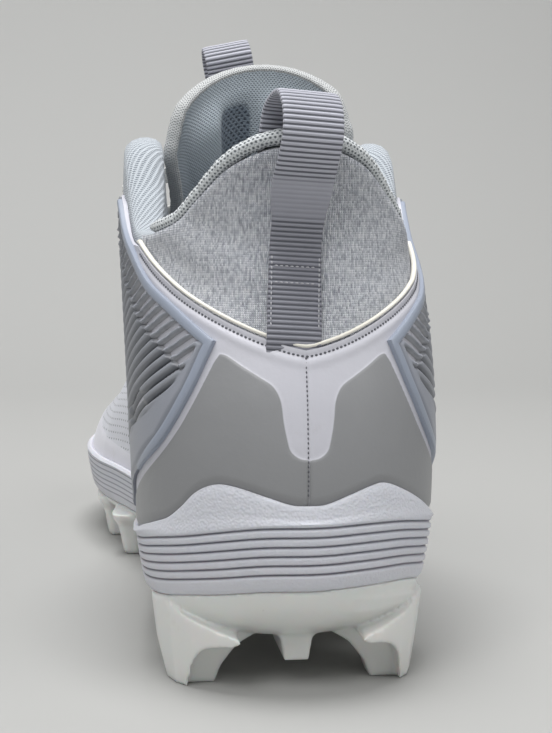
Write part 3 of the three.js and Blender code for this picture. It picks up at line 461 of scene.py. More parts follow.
def colour(red, green, blue):
    """A colour of the screen, 0 to 255, as the shader's."""
    line = lambda value: value / 12.92 if value <= 0.04045 else ((value + 0.055) / 1.055) ** 2.4
    return tuple(line(value / 255) for value in (red, green, blue)) + (1.0,)


def scaled(base, shares):
    return tuple(np.multiply(base[:3], shares)) + (1.0,)


def open_group(name, **inputs):
    """A new node group and its inputs: numbers, named with their usual value, and places, named with None."""
    group = bpy.data.node_groups.new(name, "ShaderNodeTree")
    for label, usual in inputs.items():
        kind = "NodeSocketVector" if usual is None else "NodeSocketFloat"
        socket = group.interface.new_socket(label, in_out="INPUT", socket_type=kind)
        if usual is not None:
            socket.default_value = usual
    given = group.nodes.new("NodeGroupInput").outputs
    return [group] + [Value(group, given[label]) for label in inputs]


def close_group(group, **values):
    """Makes values the outputs of a group."""
    for label in values:
        group.interface.new_socket(label, in_out="OUTPUT", socket_type="NodeSocketFloat")
    end = group.nodes.new("NodeGroupOutput")
    for label, value in values.items():
        put(group, value, end.inputs[label])
    return group


def use(tree, group, **inputs):
    """Adds a group to a tree and gives its outputs by name."""
    made = tree.nodes.new("ShaderNodeGroup")
    made.node_tree = group
    for key, value in inputs.items():
        put(tree, value, made.inputs[key])
    return {socket.name: Value(tree, socket) for socket in made.outputs}


def make_knit_group():
    """Knitted yarn in upright columns, with light and dark yarns mixed. Coordinates in millimetres."""
    group, place, pitch = open_group("knit yarn", Place=None, Pitch=0.7)
    column = (place.part(0) + place.noise(0.35)) / pitch
    cross = column.calc("PINGPONG", 0.5)
    row = place.part(1) / (pitch * 1.15) + cross * 1.1
    ridge = (cross * math.pi).calc("SINE")
    loop = (row * math.pi).calc("SINE").calc("ABSOLUTE")
    cell = node(group, "CombineXYZ", {0: column.calc("FLOOR"), 1: row.calc("FLOOR")})
    grain = node(group, "TexWhiteNoise", {"Vector": cell}, "Value", noise_dimensions="2D")
    upright = node(group, "VectorMath", {0: place, 1: (1.5, 0.35, 1.0)}, operation="MULTIPLY")
    return close_group(group, Height=ridge * (loop * 0.6 + 0.4),
                       Yarn=grain * 0.32 + upright.noise(1.0, 3.0) * 0.95,
                       Gap=cross.step(0.17, 0.03) * loop.step(0.9, 0.3))


def make_mesh_group():
    """Open spacer mesh: staggered holes in a fine fabric. Coordinates in millimetres."""
    group, place, pitch, wide = open_group("spacer mesh", Place=None, Pitch=1.0, Open=0.3)
    x, y = place.part(0) / pitch, place.part(1) / (pitch * 0.8)
    shift = (y + 512.0).calc("FLOOR").calc("MODULO", 2.0) * 0.5
    u = (x + shift).calc("FRACT") - 0.5
    v = (y.calc("FRACT") - 0.5) * 0.8
    far = (u * u + v * v).calc("SQRT")
    return close_group(group, Height=far.step(wide * 0.5, wide * 1.5), Hole=far.step(wide, wide * 0.6))


def make_skin_group():
    """A moulded or coated skin: fine grain, slow change of shade, and grime in scattered patches."""
    group, grain, patch = open_group("skin", Grain=900.0, Patch=40.0)
    place = place_on_shoe(group)
    return close_group(group, Height=place.noise(grain, 3.0, 0.6), Shade=place.noise(patch, 4.0),
                       Grime=place.noise(85.0, 6.0, 0.75).step(0.58, 0.78))


knit_group, mesh_group, skin_group = make_knit_group(), make_mesh_group(), make_skin_group()


def new_material(name, **settings):
    material = bpy.data.materials.new(name)
    material.use_nodes = True
    for key, value in settings.items():
        material.node_tree.nodes["Principled BSDF"].inputs[key.replace("_", " ")].default_value = value
    return material, material.node_tree


def finish(material, base, rough, height=None, depth=0.0):
    """Sets a material's colour and roughness, and its relief of a depth in millimetres."""
    tree = material.node_tree
    inputs = tree.nodes["Principled BSDF"].inputs
    put(tree, base, inputs["Base Color"])
    put(tree, rough, inputs["Roughness"])
    if height is not None:
        relief = node(tree, "Bump", {"Height": height, "Distance": depth / 1000, "Strength": 1.0})
        put(tree, relief, inputs["Normal"])
    return material


def plain_look(tree, base, shade, rough, grain, grime):
    """Colour, roughness and relief of one material with grain, slow change of shade and some grime."""
    skin = use(tree, skin_group, Grain=grain)
    clean = skin["Shade"].blend(scaled(base, shade), base)
    dirty = (skin["Grime"] * grime).blend(clean, scaled(base, (0.72, 0.70, 0.64)))
    return dirty, node(tree, "MapRange", {0: skin["Shade"], 3: rough[0], 4: rough[1]}), skin["Height"]


def plain_material(name, base, shade, rough, grain, depth, grime, **settings):
    material, tree = new_material(name, **settings)
    return finish(material, *plain_look(tree, base, shade, rough, grain, grime), depth)


# Places on the upper, in millimetres round the heel from its back seam and above the floor

ROUND = np.linspace(0, 180, 361)


ROUND_REACH = run_along(upper_at(ROUND, np.minimum(75, 0.75 * section(ROUND, "top")))[0])


def reach_of(around):
    return np.sign(around) * np.interp(np.abs(around), ROUND, ROUND_REACH)


def trough(far, wide, deep):
    return -deep * np.exp(-(far / wide) ** 2)


# The upper

def toe_border(turn):
    """How far up from the foot the low overlay reaches."""
    return np.interp(turn, (60, 80, 100, 118, 135, 150, 165, 180), (9, 10, 13, 19, 25, 29, 31, 31))


def make_upper():
    columns, rows = 720, 44
    around = np.linspace(-180, 180, columns + 1)[None]
    turn = np.abs(around)
    up = np.linspace(0, 1, rows + 1)[:, None]
    flat, _ = upper_point(around, up)
    z, y = flat[..., 2], flat[..., 1]
    girth = run_along(flat)
    s = np.broadcast_to(reach_of(around), z.shape)

    # Padded lobes of the collar, and the soft folds of the knit, the sides and the forefoot
    lobe = ease(turn, 44, 56) * (1 - ease(turn, 74, 92))
    out = 1.3 * lobe * np.sin(np.pi * np.clip((up - 0.6) / 0.4, 0, 1))
    knit_zone = 1 - ease(turn, 42, 46)
    for s0, z0, s1, z1, wide, deep in (
            (-52, 112, -14, 100, 4.0, 0.8), (-40, 121, -12, 113, 3.0, 0.6), (46, 112, 16, 104, 3.5, 0.6),
            (-33, 103, -10, 93, 3.5, 0.5), (30, 99, 12, 92, 3.0, 0.4)):
        far, _ = distance_to([(s0, z0), (s1, z1)], s, z)
        out = out + trough(far, wide, deep) * knit_zone
    flex = ease(up, 0.3, 0.65) * ease(turn, 96, 104) * (1 - ease(turn, 138, 146))
    for at, lean, deep in ((22, 0.12, 0.9), (33, -0.10, 0.7), (44, 0.08, 0.9), (56, -0.05, 0.5)):
        out = out + flex * trough(y - at - lean * flat[..., 0], 2.6, deep)
    side = ease(turn, 72, 80) * (1 - ease(turn, 98, 108))
    for y0, z0, y1, z1, deep in ((-48, 92, -14, 74, 0.7), (-38, 78, -8, 62, 0.6), (-20, 96, 4, 82, 0.5)):
        far, _ = distance_to([(y0, z0), (y1, z1)], y, z)
        out = out + side * trough(far, 3.2, deep)
    out = out + 0.5 * (1 - ease(girth - toe_border(turn), -0.8, 0.8)) * ease(turn, 71, 73)
    outer, _ = upper_point(around, up, out)
    inner, _ = upper_point(around, up[::-2], -wall_at(around, up[::-2]))
    middle, half = (outer[-1] + inner[0]) / 2, (outer[-1] - inner[0]) / 2
    thick = wall_at(around, 1.0)[0]
    rise = 0.32 * thick * ease(turn[0], 45, 58) + 0.35 * thick * ease(turn[0], 66, 90)
    crest = np.stack([middle + half * math.cos(a) + rise[:, None] * math.sin(a) * np.array((0, 0, 1))
                      for a in np.linspace(0, np.pi, 8)[1:-1]])
    points = np.concatenate([outer, crest, inner, outer[:1]])
    beyond = girth[-1:] + np.linspace(1, 9, len(crest))[:, None]
    down = 2 * girth[-1:] + 10 - girth[::-2]
    high = np.concatenate([girth, beyond, down, down[-1:] + 3])
    across = np.where(turn < 90, s[:1], np.sign(around) * (reach_of(90.0) + flat[:1, :, 1]))
    within = np.zeros((len(points), 1))
    within[rows + 4:] = 1
    skip = np.zeros((len(points) - 1, columns), bool)
    skip[rows:rows + len(crest) + 1] = np.minimum(turn[0, 1:], turn[0, :-1]) >= throat_end
    collar = points[..., 2] - counter_edge(around)
    border = high - toe_border(turn) + 60 * ease(-turn, -70, -69)
    form = surface(points, np.stack(np.broadcast_arrays(across, high), -1), skip=skip, turn=turn,
                   collar=collar, border=border, within=within)
    return close(form, cap=False)


# The heel counter: a shell with two raised films and a centre seam, and a ribbed panel on each side

FILM_TOP = ((0, 61.2), (2.2, 61.6), (4.2, 63.2), (5.0, 65.8), (5.8, 70.0), (6.5, 75.2), (8.2, 78.4),
            (11.5, 80.6), (15.5, 83.0), (19.8, 85.6), (21.3, 85.7))
FILM_SIDE = ((22.8, 83.8), (25.6, 79), (29, 73.5), (33.8, 66.8), (41, 59.8), (50, 54), (62, 48), (86, 38))
FILM = [tuple(spot) for line in (FILM_TOP, FILM_SIDE) for spot in curve_through(line, 40)]
FILM += [(80, 20), (0, 20)]
UPPER_ARM = ((98, 131), (86.5, 124.6), (72.4, 115.5), (59.6, 108.5), (48.2, 101.8), (36.4, 96.0), (24, 88.2))
LOWER_ARM = ((24, 88.2), (30.7, 76), (40.8, 64), (56.2, 54.6), (92, 40))
CHEVRON = UPPER_ARM + LOWER_ARM[1:] + ((140, 20), (140, 131))
SLAT_PITCH, SLAT_SLOPE = 3.15, 0.54
counter_out, film_height = clearance + overlay_wall, 0.32
counter_wall, panel_wall, panel_base = 1.15, 0.8, 0.6
front_low, front_high = 70, 58  # "around" of the counter's front edge, at its foot and at its top
edge_seam, centre_seam = 1.5, -0.2  # below the counter's top edge, and to the side of its middle


def counter_grid(low_around, rows, columns):
    """around, up, reach and height over the counter, or over its part beyond low_around on one side."""
    v = np.linspace(0, 1, rows + 1)[:, None]
    u = np.linspace(0, 1, columns + 1)[None]
    front = front_low + (front_high - front_low) * v
    around = low_around(front) + (front - low_around(front)) * u
    low = up_at(around, wave_at(around) - 0.8)
    up = low + (up_at(around, counter_edge(around)) - low) * v
    flat, _ = upper_point(around, up)
    return around, up, reach_of(around), flat[..., 2]


def make_counter():
    around, up, s, z = counter_grid(lambda front: -front, 96, 250)
    film = inside(FILM, np.abs(s), z)
    out = counter_out + film_height * ease(film, -0.25, 0.45) + trough(s - centre_seam, 0.5, 0.35)
    edge = counter_edge(around) - z
    foot = 1 - ease(z - wave_at(around), -0.4, 2.2)
    out -= 0.75 * foot
    near = 1 - ease(np.abs(around), 41, 44)
    out += near * (trough(edge - edge_seam, 0.7, 0.3) + 0.25 * np.exp(-((edge - 3.2) / 1.2) ** 2))
    points, _ = upper_point(around, up, out)
    form = surface(points, np.stack([s, z], -1), film=film)
    return thicken(form, counter_wall)


def panel_relief(s, z):
    """The height of the side panel's relief: slats with pale cells between them, a braid of scales in front,
    and a plain plate behind and below. Also how much of each place is plate, cell and braid."""
    s = np.abs(s)
    above, _ = distance_to(UPPER_ARM, s, z)
    below, _ = distance_to(LOWER_ARM, s, z)
    wide = 2.4 + 9.0 * (1 - ease(z, 56, 86))
    plate = 1 - ease(below, wide, wide + 0.9)
    place = (z + SLAT_SLOPE * (s - 24) - 0.0016 * (s - 24) ** 2) / SLAT_PITCH
    phase = place % 1
    bar = ease(0.5 - np.abs(phase - 0.5), 0.27, 0.40)
    cells = -0.9 + 1.7 * bar
    other = (place + 0.5) % 1
    scales = -1.2 + 2.5 * np.sin(np.pi * other) ** 0.6 * (0.72 + 0.28 * other)
    braid = ease(above, 9.2, 10.6)
    knot = np.exp(-((above - 9.3) / 1.1) ** 2) * bar
    height = cells * (1 - braid) + scales * braid + 0.45 * knot
    height = height * (1 - plate) + 0.75 * plate
    far, _ = distance_to(((35, 82.5), (57, 77.6)), s, z)
    height = height - (1 - ease(far, 0.5, 1.3)) * plate
    scoop = np.hypot((s - 57) / 9.0, (z - 70 + 0.3 * (s - 57)) / 4.2)
    height = height - 0.8 * (1 - ease(scoop, 0.8, 1.15)) * ease(z, 57, 63)
    rim = ease(np.minimum(above, below), 0.8, 2.0)
    cell = (1 - bar) * (1 - braid) * (1 - plate) * rim
    return height * rim + 0.3 * (1 - rim), plate, cell, braid


def make_side_panel(side):
    around, up, s, z = counter_grid(lambda front: 0 * front + 17, 176, 190)
    far = inside(CHEVRON, s, z)
    relief, plate, cell, braid = panel_relief(s, z)
    top = counter_edge(around) - z
    relief = relief * ease(top, 0.3, 1.5)
    foot = 1 - ease(z - wave_at(side * around), 0.2, 2.6)
    out = counter_out + (panel_base + relief) * (1 - foot) - panel_base * foot
    points, _ = upper_point(side * around, up, out)
    outside = far < -0.3
    skip = outside[1:, 1:] & outside[:-1, 1:] & outside[1:, :-1] & outside[:-1, :-1]
    form = surface(points, np.stack([s, z], -1), skip=skip, plate=plate, cell=cell, relief=relief,
                   braid=braid)
    bmesh.ops.delete(form, geom=[v for v in form.verts if not v.link_faces], context="VERTS")
    if side < 0:
        bmesh.ops.reverse_faces(form, faces=form.faces)
    return thicken(form, panel_wall)


def make_side_frame(side):
    """The raised rib in the shape of an arrowhead round the panel."""
    corners = [(57, 124.6), (50, 115.5), (43, 108.5), (36, 101.8), (28, 96.0), (19, 88.2), (24, 76), (31, 64),
               (41, 54.6)]
    upper_part, lower_part = curve_through(corners[:6], 100), curve_through(corners[5:], 70)
    path = np.vstack([upper_part[:-2], [upper_part[-1]], lower_part[2:]])
    around, high = side * path[:, 0], path[:, 1]
    points, normals = upper_at(around, high, counter_out)
    tip = len(upper_part) - 2
    before, after = points[tip] - points[tip - 1], points[tip + 1] - points[tip]
    mitre = np.ones(len(path))
    mitre[tip] = 1 / max(math.cos(0.5 * math.acos(float(unit(before) @ unit(after)))), 0.5)
    profile = [(-1.6, 0.0), (-1.6, 0.9), (-1.42, 1.25), (-1.1, 1.4), (-0.4, 1.46), (0.4, 1.46), (1.1, 1.4),
               (1.42, 1.25), (1.6, 0.9), (1.6, 0.0)]
    taper = 1 - 0.35 * ease(np.arange(len(path)), len(path) - 22, len(path) - 1)
    return sweep(points, normals, profile, width=mitre * taper * 0.8, lift=taper)


def make_piping():
    around = np.linspace(-binding_end - 0.6, binding_end + 0.6, 260)
    points, normals = upper_at(around, counter_edge(around) + 1.05, 0.75)
    return sweep(points, normals, round_profile(1.0, 1.4, 14))


def make_binding():
    """The rolled edge of the knit at the back of the collar, gathered a little along its length."""
    around = np.linspace(-binding_end, binding_end, 420)
    outer, _ = upper_point(around, 1.0)
    inner, _ = upper_point(around, 1.0, -wall_at(around, 1.0))
    across = inner - outer
    rise = unit(np.cross(np.gradient(outer, axis=0), across))
    path = (outer + inner) / 2 + rise * (binding_radius - 0.1)
    run = run_along(path)
    end = ease(run, 0, 6) * (1 - ease(run, run[-1] - 6, run[-1]))
    ripple = 1 + 0.035 * np.sin(run * 2.9 + 1.3 * np.sin(run * 0.31)) + 0.03 * np.sin(run * 1.1)
    size = (0.62 + 0.38 * end) * ripple
    return sweep(path, rise, round_profile(4.9, 3.9, 28, 0.9), width=size, lift=size)


# Pull loops

heel_loop_top, ribbon_width, ribbon_thickness, rib_pitch = 150, 14.5, 1.2, 1.25


def ribbon(path_yz, count, wide, ribbed):
    """A ribbed ribbon along a path in the Y-Z plane. wide: its width at each height. ribbed: 0 or 1 there."""
    line = curve_through(path_yz, count)
    path = np.stack([0 * line[:, 0], line[:, 0], line[:, 1]], -1)
    normal = np.cross(tangents(path), (1.0, 0, 0))
    run = run_along(path)
    share = run / run[-1]
    rib = 0.5 + 0.5 * np.cos(2 * np.pi * run / rib_pitch)
    mask = ribbed(share, line[:, 1])
    swell = ribbon_thickness * (0.78 + 0.5 * mask * rib ** 0.8)
    return sweep(path, normal, round_profile(1.0, 1.0, 22, 0.35), wide(share, line[:, 1]), swell, ribbed=mask)


def turn_y(form, degrees, about_z, shift):
    """Turns a form about a line along Y at a height, and shifts it to the side."""
    about, aside = Vector((0, 0, about_z / 1000)), Vector((shift / 1000, 0, 0))
    turn = Matrix.Rotation(math.radians(degrees), 4, "Y")
    place = Matrix.Translation(aside + about) @ turn @ Matrix.Translation(-about)
    bmesh.ops.transform(form, matrix=place, verts=form.verts)
    return form


def heel_loop_path():
    def behind(z, out):
        spot, _ = upper_at(0.0, z, clearance + ribbon_thickness / 2 + out)
        return float(spot[1]), float(spot[2])

    edge = float(upper_point(0.0, 1.0)[0][1])
    within = edge + float(wall_at(0.0, 1.0)) + clearance + ribbon_thickness
    path = [behind(counter_top - 0.4, -1.0), behind(counter_top + 3.2, 0.1)]
    for share, out in ((0.71, 0.3), (0.76, 0.4), (0.82, 0.6), (0.9, 4.5)):
        path.append(behind(share * collar_height, out))
    return path + [(edge - 10.5, 0.5 * (collar_height + heel_loop_top) - 6), (edge - 9.5, heel_loop_top - 5),
                   (edge - 4, heel_loop_top - ribbon_thickness / 2), (within - 2, heel_loop_top - 3.5),
                   (within + 1.2, collar_height + 2), (within + 2.8, collar_height - 6),
                   (within + 3.4, collar_height - 15)]


def make_heel_loop():
    def wide(share, z):
        outer = share < 0.62
        behind = 13.0 + 2.4 * ease(z, 117, 127) + 0.6 * (1 - ease(z, 96, 112))
        return np.where(outer, behind, 15.4 - 1.2 * (1 - ease(z, 128, 140)))

    def ribbed(share, z):
        plain = ease(z, 118.5, 120.5) * (1 - ease(z, 127.5, 130)) * (share < 0.55)
        return 1 - 0.85 * plain

    return set_loop(ribbon(heel_loop_path(), 560, wide, ribbed))


def set_loop(form):
    """Leans the heel loop to its side and turns its free part a little about the upright."""
    middle = float(upper_point(0.0, 1.0)[0][1]) - 5
    for vert in form.verts:
        angle = math.radians(10) * float(ease(1000 * vert.co.z, 118, 138))
        y = vert.co.y - middle / 1000
        x = vert.co.x
        vert.co.x = x * math.cos(angle) - y * math.sin(angle)
        vert.co.y = middle / 1000 + x * math.sin(angle) + y * math.cos(angle)
    return turn_y(form, 3.0, 0.74 * collar_height, -2.3)


def make_loop_stitches():
    """The box of stitches at the foot of the heel loop."""
    def row(x, z):
        reach = clearance + ribbon_thickness * 1.12 + np.interp(z, (89, 97, 104, 112), (0.2, 0.3, 0.4, 0.6))
        path, normals = upper_at(0.0 * z, z, reach)
        return path + np.stack([x, 0 * x, 0 * x], -1), normals

    across, upright = np.linspace(-5.6, 5.6, 30), np.linspace(92, 110, 30)
    rows = [row(across, np.full(30, z)) for z in (103.0, 107.0)]
    rows += [row(np.full(30, x), upright) for x in (-5.9, 5.9)]
    return set_loop(stitches(rows, 0.95, 0.35, 0.4, 0.36))


# Tongue

tongue_thickness, tongue_pad, tongue_width, tongue_top, tongue_length, quilt_pitch = 4, 3.2, 57, 167, 150, 22
tongue_loop_height, tongue_loop_across, tongue_loop_roll = 12, -0.13 * tongue_width, 12
TONGUE_LINE = np.array([
    (0, 0.205 * sole_length, 0.86 * instep_height, 0.39 * tongue_width, 7),
    (0.12, 0.15 * sole_length, 0.985 * instep_height, 0.42 * tongue_width, 8),
    (0.28, 0.083 * sole_length, 1.13 * instep_height, 0.43 * tongue_width, 9),
    (0.45, 0.003 * sole_length, 1.31 * instep_height, 0.44 * tongue_width, 10),
    (0.6, -0.062 * sole_length, 0.72 * tongue_top, 0.455 * tongue_width, 12),
    (0.72, -0.103 * sole_length, 0.8 * tongue_top, 0.44 * tongue_width, 13),
    (0.85, -0.132 * sole_length, 0.89 * tongue_top, 0.485 * tongue_width, 15),
    (1, -0.15 * sole_length, tongue_top, 0.5 * tongue_width, 18),
])


def throat_shift(y):
    turn = np.degrees(np.arccos(np.clip(-y / half_length, -1, 1)))
    return (face(turn, 1.0)[..., 0] + face(-turn, 1.0)[..., 0]) / 2


def tongue_face(across, share):
    """The tongue's front face. across: -1 at the inner edge, 1 at the outer edge."""
    across, share = np.broadcast_arrays(np.asarray(across, float), np.asarray(share, float))
    share = share - 0.05 * ease(np.abs(across), 0.75, 1) * ease(share, 0.9, 1.0)
    reach = share * (1 - (0.11 * (across - 0.12) ** 2) * share ** 2)
    row = lambda column, at: along(TONGUE_LINE[:, 0], TONGUE_LINE[:, column], at)
    middle = np.clip(reach, 0.01, 0.99)
    dy, dz = (row(k, middle + 0.01) - row(k, middle - 0.01) for k in (1, 2))
    long = np.hypot(dy, dz)
    bend = math.radians(70)
    drop = row(4, reach) * (1 - np.cos(across * bend)) / (1 - math.cos(bend))
    x = row(3, reach) * np.sin(across * bend) / math.sin(bend) + throat_shift(row(1, reach))
    return point(x, row(1, reach) - drop * dz / long, row(2, reach) + drop * dy / long)


def tongue_inward(across, share):
    along_u = tongue_face(across + 0.01, share) - tongue_face(across - 0.01, share)
    v1 = np.minimum(share + 0.01, 1)
    return unit(np.cross(along_u, tongue_face(across, v1) - tongue_face(across, v1 - 0.02)))


def tongue_depth(across, share):
    pod = np.maximum(0, np.sin(np.pi * np.minimum(1, np.abs(across) * 1.25))) * ease(share, 0.5, 0.7)
    pod = pod * (1 - ease(share, 0.88, 0.97))
    return (1 - 0.55 * np.abs(across) ** 4) * tongue_thickness + tongue_pad * pod


def make_tongue():
    """A padded strip with a channel down its middle at the top, closed round its rim."""
    columns, rows = 72, 150
    across = np.linspace(-0.97, 0.97, columns + 1)[None]
    share = np.linspace(0, 1, rows + 1)[:, None]
    normal = tongue_inward(across, share)
    front = tongue_face(across, share)
    deep = tongue_depth(across, share)
    x, y = across * 0.5 * tongue_width, share * tongue_length
    channel = np.exp(-((across + 0.2) / 0.17) ** 4) * ease(share, 0.62, 0.72) * (1 - ease(share, 0.88, 0.96))
    quilted = (1 - ease(share, 0.55, 0.62)) * ease(share, 0.2, 0.3)
    quilt = 0.35 * np.cos(2 * np.pi * y / quilt_pitch) * quilted
    swell = 1.2 * (1 - np.abs(across) ** 3) * ease(share, 0.6, 0.72) * (1 - ease(share, 0.9, 1))
    front_at = front - normal * (swell * 0.6 + quilt)[..., None]
    back_at = front + normal * (deep - 3.0 * channel + 0.5 * swell * (1 - channel))[..., None]
    rim = np.abs(across) ** 10
    middle = (front_at + back_at) / 2
    front_at = middle + (front_at - middle) * (1 - 0.25 * rim)[..., None]
    back_at = middle + (back_at - middle) * (1 - 0.25 * rim)[..., None]
    ring = np.concatenate([front_at, back_at[:, ::-1], front_at[:, :1]], axis=1)
    u = np.concatenate([x, 60 - x[:, ::-1], x[:, :1] + 118], axis=1)
    inner = np.concatenate([np.zeros(columns + 1), np.ones(columns + 1), np.zeros(1)])[None]
    dark = np.concatenate([0 * channel, channel[:, ::-1], channel[:, :1]], axis=1)
    return close(surface(ring, np.stack(np.broadcast_arrays(u, y), -1), within=inner, channel=dark))


def make_tongue_edge():
    """The rolled binding round the tongue's sides and top."""
    side = np.linspace(0.34, 1.0, 120)
    top = np.linspace(-1, 1, 90)[1:-1]
    across = np.concatenate([-np.ones(120), top, np.ones(120)])
    share = np.concatenate([side, np.ones(88), side[::-1]])
    normal = tongue_inward(across, share)
    path = tongue_face(across, share) + normal * (0.5 * tongue_depth(across, share))[:, None]
    path = curve_through(path[::3], 420)
    ahead = np.interp(np.linspace(0, 1, 420), np.linspace(0, 1, len(normal)), np.arange(len(normal)))
    outward_way = -normal[np.rint(ahead).astype(int)]
    size = 1 + 0.03 * np.sin(np.arange(420) * 0.9)
    return sweep(path, outward_way, round_profile(2.3, 4.3, 20, 0.9), width=size, lift=size)


def make_tongue_loop():
    at = 2 * tongue_loop_across / tongue_width
    front, foot = (tongue_face(at, share) for share in (0.98, 0.84))
    off = clearance + ribbon_thickness
    rising = ((1.8, -4), (2.2, 3), (1, 0.7 * tongue_loop_height), (5, tongue_loop_height),
              (10.5, 0.7 * tongue_loop_height), (11, 1), (8, -9))
    path = [(foot[1] + off + 1.6, foot[2])]
    path += [(front[1] + off + ahead, front[2] + up) for ahead, up in rising]
    path.append((foot[1] + off + 5, foot[2] - 2))
    form = ribbon(path, 420, lambda share, z: ribbon_width + 0 * z, lambda share, z: 1 + 0 * z)
    return turn_y(form, -tongue_loop_roll, front[2], tongue_loop_across)


# Sole

def make_midsole():
    around = np.linspace(-180, 180, 541)
    split, ledge = section(around, "split") + tilt(around), section(around, "ledge") + tilt(around)
    groove = 0.95 * (1 - ease(np.abs(around), 78, 96))
    lowest = split + 0.19 * (ledge - split)
    pitch = (ledge - lowest) / groove_count
    rows, cuts = [], []

    def add(row, cut=0.0):
        rows.append(row)
        cuts.append(0 * around + cut)

    for inset, above in ((foam_undercut + 6, 0.05), (foam_undercut + 0.5, 0), (foam_undercut, 0.25),
                         (0.76 * foam_undercut, 1.3)):
        add(outline(around, inset, split + above))
    for n in range(groove_count):
        for t in np.linspace(0, 1, 9)[:-1]:
            share = (n + t) / groove_count
            rib = 0.6 * foam_undercut * (1 - share) ** 1.3
            far = abs(t - 0.5) * 2
            notch = math.exp(-(far / 0.34) ** 2)
            add(outline(around, rib + groove * notch + 0.12 * far ** 4, lowest + (n + t) * pitch), notch)
    add(outline(around, 0.0, ledge))
    wave = wave_at(around)
    for share, extra in ((0.2, 0.95), (0.35, 0.8), (0.55, 0.58), (0.75, 0.38), (0.9, 0.2), (1.0, -0.12)):
        z = ledge + share * (wave - ledge)
        add(upper_at(around, z, foam_rim + extra)[0])
    for inset, drop in ((0.6, 0.05), (1.35, 0.5), (1.45, 2.5)):
        add(upper_at(around, wave - drop, foam_rim - inset)[0])
    for inset, lift in ((foam_lip, 0.1), (foam_lip + 6, 0.05)):
        add(outline(around, inset - 0.35, section(around, "foot") + lift))
    points = np.array(rows)
    place = np.stack(np.broadcast_arrays(reach_of(around)[None], run_along(points)), -1)
    form = surface(points, place, cut=np.array(cuts))
    return close(form)


def bowl_row(around, depth, inset, inward):
    turn = np.abs(around)
    low = ease(turn, 70, 105)
    base = heel_bowl_height + (ball_stud_height - heel_bowl_height) * low
    base = base + (section(around, "split") - ball_split) * ease(turn, 125, 165)
    top = section(around, "split") - 0.05 + tilt(around)
    z = base + (top - base) * depth + inward * (1 - depth)
    return outline(around, inset * (1 - 0.72 * low) + foam_undercut + inward * math.sqrt(depth), z)


def make_outsole():
    """The plate as a smooth bowl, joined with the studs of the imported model, and melted together."""
    around = np.linspace(-180, 180, 481)
    depths = np.array((0, 0.1, 0.3, 0.6, 1))
    insets = np.array((27, 17, 9, 3.4, 0))
    dense = np.concatenate([np.linspace(0, 0.3, 10)[:-1], np.linspace(0.3, 1, 12)])
    outer = [bowl_row(around, d, float(along(depths, insets, d)), 0.0) for d in dense]
    inner = [bowl_row(around, d, float(along(depths, insets, d)), plate_wall) for d in dense[::-1]]
    hub = [outline(around, 38, row[:, 2]) for row in (outer[0], inner[-1])]
    points = np.array(hub[:1] + outer + inner + hub[1:])
    form = close(surface(points, np.zeros(points.shape[:2] + (2,))))
    studs = bmesh.new()
    studs.from_mesh(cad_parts["outsole"].data)
    bmesh.ops.remove_doubles(studs, verts=studs.verts, dist=1e-5)
    for vert in studs.verts:
        vert.co.x *= 1 + 0.035 * float(ease(-1000 * vert.co.y, 100, 115))
    add_form(form, studs)
    return form


def melt(thing, voxel, rounds, kept):
    """Joins the closed shapes of a piece into one skin, smooths its creases and thins its triangles."""
    skin = thing.modifiers.new("Skin", "REMESH")
    skin.mode = "VOXEL"
    skin.voxel_size = voxel / 1000
    skin.use_smooth_shade = True
    soft = thing.modifiers.new("Soft", "SMOOTH")
    soft.factor = 0.5
    soft.iterations = rounds
    thin = thing.modifiers.new("Thin", "DECIMATE")
    thin.ratio = kept
    thin.use_collapse_triangulate = True


def make_insole():
    around = np.linspace(-180, 180, 181)
    inset, floor = foam_lip + upper_wall + 3.4, section(around, "foot") + clearance
    rows = []
    for share, extra in ((0, 0.3), (0.08, 0), (0.5, 0.3), (0.85, 0.5), (0.97, 0.9), (1, 1.8)):
        rows.append(outline(around, inset + 0.6 * extra, floor + share * insole_thickness))
    for shrink in (6, 14, 22):
        rows.append(outline(around, inset + shrink, floor + insole_thickness - 0.02 * shrink))
    points = np.array(rows)
    return close(surface(points, points[..., :2]))


# Eyestays, eyelets and lace

top_eyelet, low_eyelet, eyelet_pairs, eyelet_up = 74, throat_end - 8, 5, 0.9
EYELET_TURNS = [top_eyelet + (low_eyelet - top_eyelet) * k / (eyelet_pairs - 1) for k in range(eyelet_pairs)]
eyestay_gap = 0.5
lace_width, lace_thickness = 5.2, 1.4


def make_eyestay(side):
    around = np.linspace(70, throat_end - 2, 150)[None] * side
    up = np.linspace(0.79, 0.985, 34)[:, None]
    rim_u = np.minimum(np.abs(around) - 70, throat_end - 2 - np.abs(around)) * 1.9
    flat, _ = upper_point(around, up)
    steps = run_along(flat)
    rim = np.minimum(np.minimum(steps, steps[-1:] - steps), rim_u)
    out = eyestay_gap + overlay_wall - 0.45 * (1 - ease(rim, 0, 0.9)) + trough(rim - 2.0, 0.35, 0.2)
    points, _ = upper_point(around, up, out)
    form = surface(points, np.stack([flat[..., 1], steps], -1))
    if side < 0:
        bmesh.ops.reverse_faces(form, faces=form.faces)
    return thicken(form, 1.0)


def make_eyelet(around):
    centre, normal = upper_point(float(around), eyelet_up)
    seat = eyestay_gap + overlay_wall + 0.1
    angle = np.linspace(0, 2 * np.pi, 41)
    profile = [(1.9, -2.2), (2.5, -2.2), (2.6, seat - 0.3), (3.9, seat - 0.3), (4.1, seat + 0.05),
               (3.95, seat + 0.45), (3.4, seat + 0.72), (2.7, seat + 0.72), (2.15, seat + 0.45),
               (1.9, seat - 0.1), (1.9, -2.2)]
    side = unit(np.cross(normal, (0, 0, 1.0)))
    other = np.cross(normal, side)
    rows = [centre + r * (np.cos(angle)[:, None] * side + np.sin(angle)[:, None] * other) + h * normal
            for r, h in profile]
    points = np.array(rows)
    return close(surface(points, np.zeros(points.shape[:2] + (2,))), cap=False)


